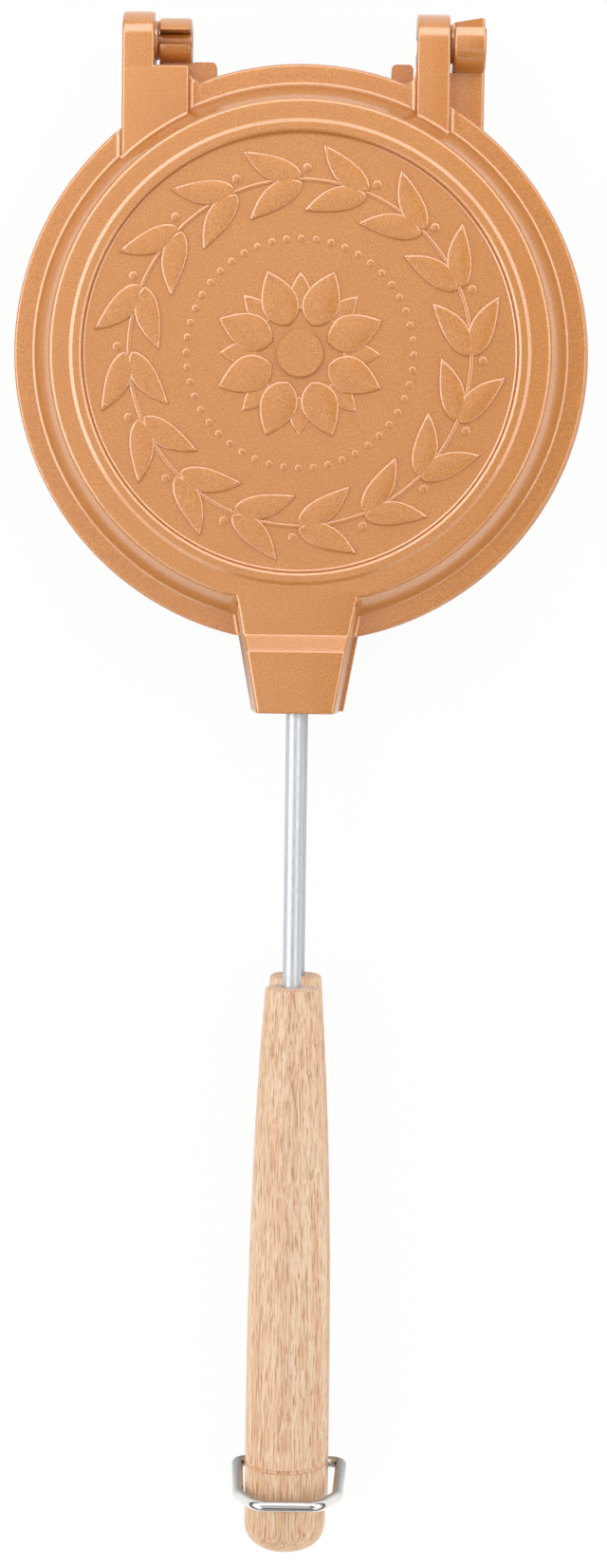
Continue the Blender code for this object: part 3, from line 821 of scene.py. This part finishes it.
def wall_line(x, y, height):
    """Points along a wall that stands at one x: (x, y, height)."""
    return np.column_stack([np.full(len(y), x), y, np.full(len(y), height)])


def web_curve(x, side, top, points=12):
    """Where the rim runs into a lug's side: (1-t)^2 A + 2t(1-t) B + t^2 C, seen from above."""
    end_x = x + side * WEB_WIDTH
    end = np.array([end_x, math.sqrt(FLANGE_RADIUS**2 - end_x**2)])
    corner = np.array([x, end[1] - (x - end_x) * end_x / end[1]])
    t = np.linspace(0.0, 1.0, points)[:, None]
    return (1 - t) ** 2 * np.array([x, top]) + 2 * t * (1 - t) * corner + t**2 * end


def web_line(x, side, top, points=10):
    """Points along the lug's side beside the web, and the web's width at each of them."""
    curve = web_curve(x, side, top)[::-1]
    y = np.linspace(math.sqrt(FLANGE_RADIUS**2 - x**2) - RIM_ROUND, top - OVERLAP, points)
    width = side * (np.interp(y, curve[:, 1], curve[:, 0]) - x)
    return wall_line(x, y, FLANGE_HEIGHT), width


def web_shell(x, side, top):
    """The web itself: its outline from above, closed inside the rim, with a rounded upper edge."""
    curve = web_curve(x, side, top)
    along = unit(np.gradient(curve, axis=0))
    inward = side * np.column_stack([along[:, 1], -along[:, 0]])
    back, inside = x - side * INTO_LUG, curve[-1, 1] - INTO_RIM
    buried = [(curve[-1, 0], inside), (back, inside - INTO_LUG), (back, top)]
    layers = [(UNDERSIDE + HAIR / 2, 0.0)]
    layers += [(FLANGE_HEIGHT - drop, inset) for drop, inset in WEB_RIM]
    outlines = [at_height(np.vstack([curve + inset * inward, buried]), z) for z, inset in layers]
    return shell(np.array(outlines))


print("a web is", round(1000 * WEB_WIDTH, 1), "mm wide on the rim")

# %% Fillets of the hinge lugs
BEVEL_SLOPE = (PLATFORM_HEIGHT - FLANGE_HEIGHT) / (FOOT_RADIUS - PLATFORM_RADIUS)
LEAST_RISE, LEAST_RUN = 0.0010, 0.00005
SIDE_FILLET_RISE, TOP_FILLET, TOP_END_GAP = 0.0012, 0.0010, 0.0003
# Each side of a lug: its x, the way it faces, its fillet's run, and how far back its web goes.
LUG_SIDES = (
    (ARM_OUTER, -1.0, 0.0023, None),
    (FOOT_INNER, 1.0, 0.0024, 0.07385),
    (HOOK_INNER, -1.0, 0.0024, 0.07600),
    (HOOK_OUTER, 1.0, 0.0022, None),
)


def side_fillets(x, side, run, web_top, rise):
    """The fillet along one side of a lug, on the flange, with its web where it has one."""
    first, last = FOOT_RADIUS - 2.0 * OVERLAP, FLANGE_RADIUS - RIM_ROUND
    y = np.linspace(math.sqrt(first**2 - x**2), math.sqrt(last**2 - x**2), 12)
    line = wall_line(x, y, FLANGE_HEIGHT)
    shells = []
    if web_top:
        shells.append(web_shell(x, side, web_top))
        beside, width = web_line(x, side, web_top)
        line = np.vstack([line[:-1], beside])
        run = np.concatenate([np.full(len(y) - 1, run), np.minimum(run, width + LEAST_RUN)])
    else:
        left_of_rim = np.sqrt(FLANGE_RADIUS**2 - y**2) - abs(x) - RIM_ROUND
        run = np.clip(left_of_rim, LEAST_RUN, run)
    # The lower hook hardly stands above the flange, and has no fillet at its sides.
    if rise > LEAST_RISE:
        shells.append(fillet_shell(line, (0.0, 0.0, 1.0), (side, 0.0, 0.0), SIDE_FILLET_RISE, run))
    return shells


def top_fillet(low, high, top):
    """The fillet where a lug's flat top meets the bevel, on the bevel's circle at that height."""
    circle = FOOT_RADIUS - (top - FLANGE_HEIGHT) / BEVEL_SLOPE
    x = np.linspace(low, high, 24)
    outward = at_height(np.column_stack([x, np.sqrt(circle**2 - x**2)]), 0.0)
    line = outward + np.array([0.0, 0.0, top])
    uphill = np.array([0.0, 0.0, 1.0]) - unit(outward) / BEVEL_SLOPE
    return fillet_shell(line, uphill, outward, TOP_FILLET, TOP_FILLET)


def lug_fillets(shift, hook_top):
    """Fillets on both sides of each lug, and along the lugs' tops."""
    shells = []
    for x, side, run, web_top in LUG_SIDES:
        rise = (ARM_RADIUS if x < 0 else hook_top) - FLANGE_HEIGHT
        shells += side_fillets(x + shift, side, run, web_top, rise)
    for low, high, top in ((ARM_OUTER, FOOT_INNER, ARM_RADIUS), (HOOK_INNER, HOOK_OUTER, hook_top)):
        shells.append(top_fillet(low + TOP_END_GAP + shift, high - TOP_END_GAP + shift, top))
    return shells


print("bevel rises", round(BEVEL_SLOPE, 2), "mm for each mm inwards")

# %% Fillets of the neck, and all fillets as one piece for each half
NECK_FILLET, NECK_FOOT_FILLET = 0.0020, 0.0013
NECK_AT_RIM, RIM_GAP, TOP_GAP = 0.0155, 0.0002, 0.0001


def neck_fillets():
    """Fillets down the corner between neck and bevel, and along the neck's foot on the flange."""
    shells = []
    heights = np.linspace(PLATFORM_HEIGHT - TOP_GAP, FLANGE_HEIGHT, 16)
    circles = FOOT_RADIUS - (heights - FLANGE_HEIGHT) / BEVEL_SLOPE
    # The corner's reach is where reach^2 + half-width^2 is the bevel's circle, found by repeats.
    reach = circles.copy()
    for _ in range(6):
        reach = np.sqrt(circles**2 - neck_half_width(reach, heights) ** 2)
    x = neck_half_width(reach, heights)
    rim_reach = math.sqrt(FLANGE_RADIUS**2 - NECK_AT_RIM**2)
    foot = np.linspace(reach[-1] - OVERLAP, rim_reach - RIM_GAP, 12)
    foot_x = neck_half_width(foot, FLANGE_HEIGHT)
    for side in (-1.0, 1.0):
        corner = np.column_stack([side * x, -reach, heights])
        away = np.array([-side * NECK_TAPER, -1.0, 0.0])
        round_pan = at_height(np.column_stack([side * reach, x]), 0.0)
        shells.append(fillet_shell(corner, away, round_pan, NECK_FILLET, NECK_FILLET))
        line = at_height(np.column_stack([side * foot_x, -foot]), FLANGE_HEIGHT)
        uphill, out = np.array([-side * DRAFT, 0.0, 1.0]), (side, 0.0, 0.0)
        shells.append(fillet_shell(line, uphill, out, NECK_FOOT_FILLET, NECK_FOOT_FILLET))
    return shells


for half, body, where, shift in HALVES:
    shells = lug_fillets(shift, HOOKS[half][0]) + neck_fillets()
    moved = [(placed(points, where), faces) for points, faces in shells]
    dressed(built(f"{half}_fillets", moved), COAT, body, f"{half}_plate")
    print(half, "half:", len(shells), "fillets and webs")

# %% [markdown]
# ## Stops on the lower rim
# Two small blocks stand out of the lower pan's rim between the lugs. The one on the hook's side is
# 1 mm wider, and runs into the hook. Two bevelled boxes would do, but a casting's block is rounder
# seen from above than along its top. So a rounded plan is stacked in four layers, and drawn in
# over the last two.

# %% Stops
STOP_MIDDLE, STOP_HALF_WIDTH, HOOK_SIDE_WIDER = 0.0257, 0.00285, 0.0010
STOP_START, STOP_END, STOP_HEIGHT, STOP_CORNER = 0.0690, 0.0760, 0.0052, 0.0013
STOP_RIM = ((0.0006, 0.0), (0.0002, 0.0002), (0.0, 0.0006))


def inset_outline(outline, distance):
    """The outline moved inwards: each corner goes along n1 + n2 by d / (1 + n1 . n2)."""
    after = unit(np.roll(outline, -1, axis=0) - outline)
    x, y = outline.T
    turn = np.sign(np.sum(x * np.roll(y, -1) - np.roll(x, -1) * y))
    normal = turn * np.stack([-after[:, 1], after[:, 0]], axis=-1)
    before = np.roll(normal, 1, axis=0)
    share = 1.0 + np.sum(normal * before, axis=1, keepdims=True)
    return outline + distance * (normal + before) / np.maximum(share, 0.5)


for i, side in enumerate((-1, 1)):
    middle = side * STOP_MIDDLE + SIDE_PLAY
    low = middle - STOP_HALF_WIDTH
    high = middle + STOP_HALF_WIDTH + (HOOK_SIDE_WIDER if side > 0 else 0.0)
    plan = [(low, STOP_START, 0.0), (high, STOP_START, 0.0)]
    plan += [(high, STOP_END, STOP_CORNER), (low, STOP_END, STOP_CORNER)]
    plan = rounded(plan, closed=True)
    layers = [(UNDERSIDE, 0.0)] + [(STOP_HEIGHT - drop, inset) for drop, inset in STOP_RIM]
    rings = np.array([at_height(inset_outline(plan, inset), z) for z, inset in layers])
    stop = stacked(f"lower_stop_{i + 1}", placed(rings, LOWER))
    dressed(stop, COAT, "lower_half", "lower_plate")
print("stops", round(1000 * STOP_HEIGHT, 1), "mm high")

# %% [markdown]
# ## Rods and handles
# A rod is a turned bar with chamfered ends. A handle is turned too: slim at the rod, it swells
# towards the hand's end, has a narrow groove there, and closes in a round end that is a little
# squarer than a ball. Both could be scaled cylinders with loop cuts. A lathe makes them from one
# profile, and so does this script, with the profile laid along -Y.

# %% Rods
ROD_START, ROD_END, ROD_CHAMFER = 0.0758, 0.2108, 0.0004


def lengthwise(rings, start):
    """Turned rings laid along -Y from a start, about the handles' axis: height becomes -y."""
    x, y, along = rings[..., 0], rings[..., 1], rings[..., 2]
    return np.stack([x, -start - along, HANDLE_AXIS + y], axis=-1)


def rod_rings():
    """A bar of one radius, with a chamfer of 45 degrees at either end."""
    length, face = ROD_END - ROD_START, ROD_RADIUS - ROD_CHAMFER
    outline = [(0.0, 0.0), (face, 0.0), (ROD_RADIUS, ROD_CHAMFER)]
    outline += [(ROD_RADIUS, length - ROD_CHAMFER), (face, length), (0.0, length)]
    return lengthwise(turned_rings(np.array(outline), 64), ROD_START)


for half, body, where, _ in HALVES:
    dressed(stacked(f"{half}_rod_bar", placed(rod_rings(), where)), CHROME, body, f"{half}_rod")
print("rods", round(1000 * (ROD_END - ROD_START)), "mm long")

# %% Handles
HANDLE_TOP, HANDLE_LENGTH = 0.1658, 0.1531
HANDLE_RADIUS, TOP_RADIUS, TOP_EDGE = 0.0108, 0.0069, 0.0008
SWELL_LENGTH, SWELL_POWER = 0.1330, 2.7
GROOVE, GROOVE_WIDTH, GROOVE_DEPTH = 0.1280, 0.0012, 0.0006
DOME, DOME_POWER, END_PLAY = 0.0090, 0.82, 0.0011
BORE_RADIUS, BORE_DEPTH = ROD_RADIUS + 0.0002, 0.0150


def handle_profile():
    """Radius R - (R - r) (1 - s)^2.7, a half-round groove, and (R cos^0.82 a, h sin^0.82 a)."""
    groove_start = GROOVE - GROOVE_WIDTH / 2
    along = TOP_EDGE + (groove_start - TOP_EDGE) * np.linspace(0.0, 1.0, 60)
    left = np.maximum(0.0, 1.0 - along / SWELL_LENGTH)
    side = HANDLE_RADIUS - (HANDLE_RADIUS - TOP_RADIUS) * left**SWELL_POWER
    edge = np.linspace(0.0, math.pi / 2, 6)[:-1]
    top_radius = side[0] - TOP_EDGE * (1.0 - np.sin(edge))
    turn = np.linspace(0.0, math.pi, 9)[1:-1]
    groove_radius = HANDLE_RADIUS - GROOVE_DEPTH * np.sin(turn)
    dome_start = HANDLE_LENGTH - DOME
    straight = np.linspace(GROOVE + GROOVE_WIDTH / 2, dome_start, 8)
    angle = np.linspace(0.0, math.pi / 2, 20)[1:]
    dome = dome_start + (DOME - END_PLAY) * np.sin(angle) ** DOME_POWER
    return np.vstack(
        [
            [(0.0, BORE_DEPTH), (BORE_RADIUS, BORE_DEPTH), (BORE_RADIUS, 0.0)],
            np.column_stack([top_radius, TOP_EDGE * (1.0 - np.cos(edge))]),
            np.column_stack([side, along]),
            np.column_stack([groove_radius, GROOVE - GROOVE_WIDTH / 2 * np.cos(turn)]),
            np.column_stack([np.full(8, HANDLE_RADIUS), straight]),
            np.column_stack([HANDLE_RADIUS * np.cos(angle) ** DOME_POWER, dome]),
        ]
    )


def drilled(piece, cutter):
    """Cuts a hole, keeps the result as the piece's mesh, and removes the cutter."""
    cut = piece.modifiers.new("hole", "BOOLEAN")
    cut.operation, cut.solver, cut.object = "DIFFERENCE", "EXACT", cutter
    graph = bpy.context.evaluated_depsgraph_get()
    mesh = bpy.data.meshes.new_from_object(piece.evaluated_get(graph))
    piece.modifiers.clear()
    piece.data = mesh
    bpy.data.objects.remove(cutter, do_unlink=True)
    mesh.shade_smooth()
    mesh.set_sharp_from_angle(angle=SHARP)
    return piece


print("a handle's profile has", len(handle_profile()), "points")

# %% Grips
PIVOT_REACH = HANDLE_TOP + HANDLE_LENGTH - 0.0173
HOLE_RADIUS, HOLE_REACH = 0.0018, 0.0125

for half, body, where, _ in HALVES:
    rings = lengthwise(turned_rings(handle_profile(), 96), HANDLE_TOP)
    grip = stacked(f"{half}_grip", placed(rings, where))
    if half == "lower":
        # A turned bar (r cos a, r sin a, h) laid across the handle: h becomes x.
        bar = turned_rings(np.array([(HOLE_RADIUS, -HOLE_REACH), (HOLE_RADIUS, HOLE_REACH)]), 32)
        hole = np.roll(bar, 1, axis=-1) + np.array([0.0, -PIVOT_REACH, HANDLE_AXIS])
        grip = drilled(grip, stacked("cross_hole", placed(hole, where)))
    dressed(grip, BEECH, body, f"{half}_handle")
print("handles", round(1000 * HANDLE_LENGTH, 1), "mm long")

# %% [markdown]
# ## The bail
# The bail is one wire, bent with its feet in the handle's cross hole, its legs leaning in, and a
# straight bar on top. A curve object with a bevel depth would make it too, but its bends would
# need handles set by hand. Here the wire is a circle carried along a rounded path in a plane.

# %% Bail
WIRE_RADIUS, BAIL_HEIGHT = 0.0015, 0.0360
FOOT_X, LEG_X, SHOULDER_X, BAR_X = 0.0050, 0.0144, 0.0132, 0.0083
SHOULDER_HEIGHT = 0.0165 + HANDLE_AXIS


def wire_rings(path, radius, sides=24):
    """Circles across a path in the XZ plane: centre + r (n cos a + y sin a), n its normal."""
    ahead = unit(np.gradient(path, axis=0))
    normal = np.column_stack([-ahead[:, 1], ahead[:, 0]])
    angle = np.linspace(0.0, math.tau, sides, endpoint=False)
    flat = path[:, None, :] + radius * normal[:, None, :] * np.cos(angle)[None, :, None]
    across = np.broadcast_to(radius * np.sin(angle), flat.shape[:2])
    return np.stack([flat[..., 0], across, flat[..., 1]], axis=-1)


def bail_path():
    """The wire's middle line from foot to foot, (x, z) from the pivot, with its bends' radii."""
    half = [(FOOT_X, 0.0, 0.0), (LEG_X, 0.0, 0.0026)]
    half += [(SHOULDER_X, SHOULDER_HEIGHT, 0.0060), (BAR_X, BAIL_HEIGHT, 0.0044)]
    corners = half + [(-x, z, bend) for x, z, bend in reversed(half)]
    return finer(rounded(corners, arc_steps=8), 0.0015)


pivot = np.array([0.0, -PIVOT_REACH, PARTING_Z - HANDLE_AXIS])
wire = stacked("bail_wire_form", wire_rings(bail_path(), WIRE_RADIUS) + pivot)
dressed(wire, WIRE_CHROME, "bail_wire", "bail")
print("bail reaches", round(1000 * (BAIL_HEIGHT + WIRE_RADIUS), 1), "mm from its pivot")

# %% [markdown]
# ## Finishes of the solids that stay
# The small pins that lock the rods are right as they are, and nothing of them shows from outside.
# A finer form would be work for no gain, so they stay and only get their steel.

# %% Pins
for name in ("upper_rod_pin", "lower_rod_pin"):
    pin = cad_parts[name]
    pin.data.materials.clear()
    pin.data.materials.append(STEEL)
print("pins in", STEEL.name)

# %% [markdown]
# ## Floor and world
# The iron lies on a white sheet in a white room. A lamp strong enough to make the sheet white
# would bleach the iron too. So the world and the sheet are white only where the camera sees them,
# or metal mirrors them, and they give the iron a plain lower level of light. In gloss the sheet's
# glow has painted shade close to the iron, dimmed by ambient occlusion, and painted light further
# out, brighter than white, and that draws the dark and pale lines along the lower edges.

# %% World
AMBIENT = 0.79


def seen_directly(tree):
    """1 for rays from the camera or off a mirror or glass, and 0 for diffuse light."""
    camera = add_node(tree, "LightPath", output="Is Camera Ray")
    gloss = add_node(tree, "LightPath", output="Is Glossy Ray")
    through = add_node(tree, "LightPath", output="Is Transmission Ray")
    either = add_node(tree, "Math", {0: camera, 1: gloss}, operation="MAXIMUM")
    return add_node(tree, "Math", {0: either, 1: through}, operation="MAXIMUM")


world = bpy.data.worlds.new("white_studio")
world.use_nodes = True
tree = world.node_tree
tree.nodes.clear()
level = add_node(
    tree, "MapRange", {"Value": seen_directly(tree), "To Min": AMBIENT, "To Max": 1.0}
)
sky = add_node(tree, "Background", {"Color": (1.0, 1.0, 1.0, 1.0), "Strength": level})
add_node(tree, "OutputWorld", {"Surface": sky})
bpy.context.scene.world = world
print("world gives", AMBIENT, "and shows white")

# %% White sheet
SHEET, SHEET_WHITE, SHEET_SHARE = "#F2F2F2", 1.02, 0.92
# The sheet lies just under the lower handle, which is the lowest part of the iron.
FLOOR_Z = PARTING_Z - HANDLE_AXIS - HANDLE_RADIUS - 0.0002
FLOOR_SIZE = 3.0

sheet, tree = new_material("white_sheet")
matt = add_node(tree, "BsdfDiffuse", {"Color": linear(SHEET)})
# Painted shade and light in gloss: the glow is dimmed where ambient occlusion finds the iron near, and
# raised above white further out.
open_air = add_node(tree, "AmbientOcclusion", {"Distance": 0.08}, "AO", samples=4)
gloss_level_with_painted_shade = add_node(
    tree,
    "MapRange",
    {"Value": open_air, "From Min": 0.60, "From Max": 0.97, "To Min": 0.3, "To Max": 1.85},
)
to_camera = add_node(tree, "LightPath", output="Is Camera Ray")
level = add_node(
    tree, "MapRange", {"Value": to_camera, "To Min": gloss_level_with_painted_shade, "To Max": SHEET_WHITE}
)
glow = add_node(tree, "Emission", {"Strength": level})
share = add_node(tree, "MapRange", {"Value": seen_directly(tree), "To Max": SHEET_SHARE})
surface = add_node(tree, "MixShader", {0: share, 1: matt, 2: glow})
add_node(tree, "OutputMaterial", {"Surface": surface})

floor_mesh = bpy.data.meshes.new("floor")
signs = ((-1.0, -1.0), (1.0, -1.0), (1.0, 1.0), (-1.0, 1.0))
floor_corners = [(x * FLOOR_SIZE, y * FLOOR_SIZE, FLOOR_Z) for x, y in signs]
floor_mesh.from_pydata(floor_corners, [], [(0, 1, 2, 3)])
floor_mesh.materials.append(sheet)
floor = bpy.data.objects.new("floor", floor_mesh)
bpy.context.scene.collection.objects.link(floor)
print("floor at", round(1000 * FLOOR_Z, 2), "mm")

# %% [markdown]
# ## Lamps and cards
# Three large soft lamps, left, back and right, model the forms. They would also show in every
# gloss as three hard boxes, so they are hidden from it and give diffuse light alone. What the
# gloss shows instead is a ring of dark cards low round the iron, and a ring of pale ones above
# it, each with its own brightness. They draw the lines along the rounded edges, and give no
# other light. One more card, overhead to the right, dims the gloss of the flat faces.

# %% Lamps
AIM = (0.0, -0.08, 0.0)


def softbox(name, location, width, height, luminance):
    """A rectangular lamp of a given brightness: its power is pi x area x luminance."""
    lamp = bpy.data.lights.new(name, "AREA")
    lamp.shape, lamp.size, lamp.size_y = "RECTANGLE", width, height
    lamp.energy = math.pi * width * height * luminance
    made = bpy.data.objects.new(name, lamp)
    made.location = location
    towards = Vector(AIM) - Vector(location)
    made.rotation_euler = towards.to_track_quat("-Z", "Y").to_euler()
    made.visible_glossy = False
    bpy.context.scene.collection.objects.link(made)


softbox("left_softbox", (-1.25, -0.25, 0.45), 0.50, 1.1, 2.4)
softbox("back_softbox", (0.1, 1.25, 0.42), 1.1, 0.40, 1.5)
softbox("right_softbox", (1.35, -0.25, 0.45), 0.40, 1.0, 2.4)
print("three softboxes")

# %% Reflector cards
CARD_DISTANCE, CARD_MIDDLE_Y = 1.30, -0.08
PALE_LEVELS = (3.6, 4.4, 4.5, 5.6, 5.8, 2.6, 0.2, 1.7)
# Each card: its lower and upper edge in degrees above the floor, and its brightness.
CARD_ROWS = {
    "dark": [(0.5, 16.0, 0.15)] * 2 + [(0.5, 14.0, 1.6)] + [(0.5, 16.0, 0.15)] * 5,
    "pale": [(28.5, 56.0, brightness) for brightness in PALE_LEVELS],
}


def card(name, corners, brightness):
    """A flat card that only shows in gloss: it draws a pale or a dark line along an edge."""
    mesh = bpy.data.meshes.new(name)
    mesh.from_pydata(corners, [], [(0, 1, 2, 3)])
    paper, tree = new_material(f"{name}_paper")
    light = add_node(tree, "Emission", {"Strength": brightness})
    add_node(tree, "OutputMaterial", {"Surface": light})
    mesh.materials.append(paper)
    made = bpy.data.objects.new(name, mesh)
    made.visible_camera = made.visible_diffuse = made.visible_shadow = False
    bpy.context.scene.collection.objects.link(made)


def card_corner(turn_deg, rise_deg):
    """A point round the table: d cos(rise) (cos a, sin a), d sin(rise)."""
    angle, rise = math.radians(turn_deg), math.radians(rise_deg)
    flat = CARD_DISTANCE * math.cos(rise)
    up = FLOOR_Z + CARD_DISTANCE * math.sin(rise)
    return (flat * math.cos(angle), CARD_MIDDLE_Y + flat * math.sin(angle), up)


for row, cards in CARD_ROWS.items():
    part = 360.0 / len(cards)
    for i, (low, high, brightness) in enumerate(cards):
        first, last = (i - 0.5) * part, (i + 0.5) * part
        corners = [card_corner(first, low), card_corner(last, low)]
        corners += [card_corner(last, high), card_corner(first, high)]
        card(f"{row}_card_{i + 1}", corners, brightness)
overhead = [(0.13, -0.60, 1.30), (0.50, -0.60, 1.20), (0.50, 0.60, 1.20), (0.13, 0.60, 1.30)]
card("overhead_dark_card", overhead, 0.4)
print("two rings of", len(PALE_LEVELS), "cards, and one overhead")

# %% [markdown]
# ## Camera
# The camera looks almost straight down, from 0.7 m above the pans' front edge. It could be placed
# by eye, but a few marks of the picture fix it: the focal length in pixels, the pixel right below
# the camera, and the pixel of the upper pan's middle. The first turn points the ray of the pixel
# below the camera straight down, and the second turns the picture in its plane. The place then
# follows from the pan's middle.

# %% Camera
IMAGE = (640.0, 1652.0)
FOCAL_PX, SENSOR_MM = 2850.0, 36.0
BELOW_CAMERA_PX, PAN_CENTRE_PX = (345.0, 595.0), (316.8, 373.0)
CAMERA_HEIGHT = 0.7193
ROLL = math.radians(0.79)
PAN_CENTRE = Vector((-SIDE_PLAY, 0.0008, PARTING_Z))


def ray(pixel, turn):
    """Direction of a pixel's ray once the camera is turned by a rotation."""
    u = (pixel[0] - IMAGE[0] / 2) / FOCAL_PX
    v = (IMAGE[1] / 2 - pixel[1]) / FOCAL_PX
    return turn @ Vector((u, v, -1.0))


level_turn = ray(BELOW_CAMERA_PX, Quaternion()).rotation_difference(Vector((0.0, 0.0, -1.0)))
turn = Quaternion((0.0, 0.0, 1.0), ROLL) @ level_turn
to_pan = ray(PAN_CENTRE_PX, turn)
camera_data = bpy.data.cameras.new("camera")
camera_data.sensor_fit = "VERTICAL"
camera_data.sensor_height = SENSOR_MM
camera_data.lens = FOCAL_PX / IMAGE[1] * SENSOR_MM
camera = bpy.data.objects.new("camera", camera_data)
camera.rotation_mode = "QUATERNION"
camera.rotation_quaternion = turn
camera.location = PAN_CENTRE - to_pan * (CAMERA_HEIGHT / -to_pan.z)
bpy.context.scene.collection.objects.link(camera)
bpy.context.scene.camera = camera
bpy.context.scene.view_settings.view_transform = "Standard"
print("camera at", [round(v, 4) for v in camera.location])
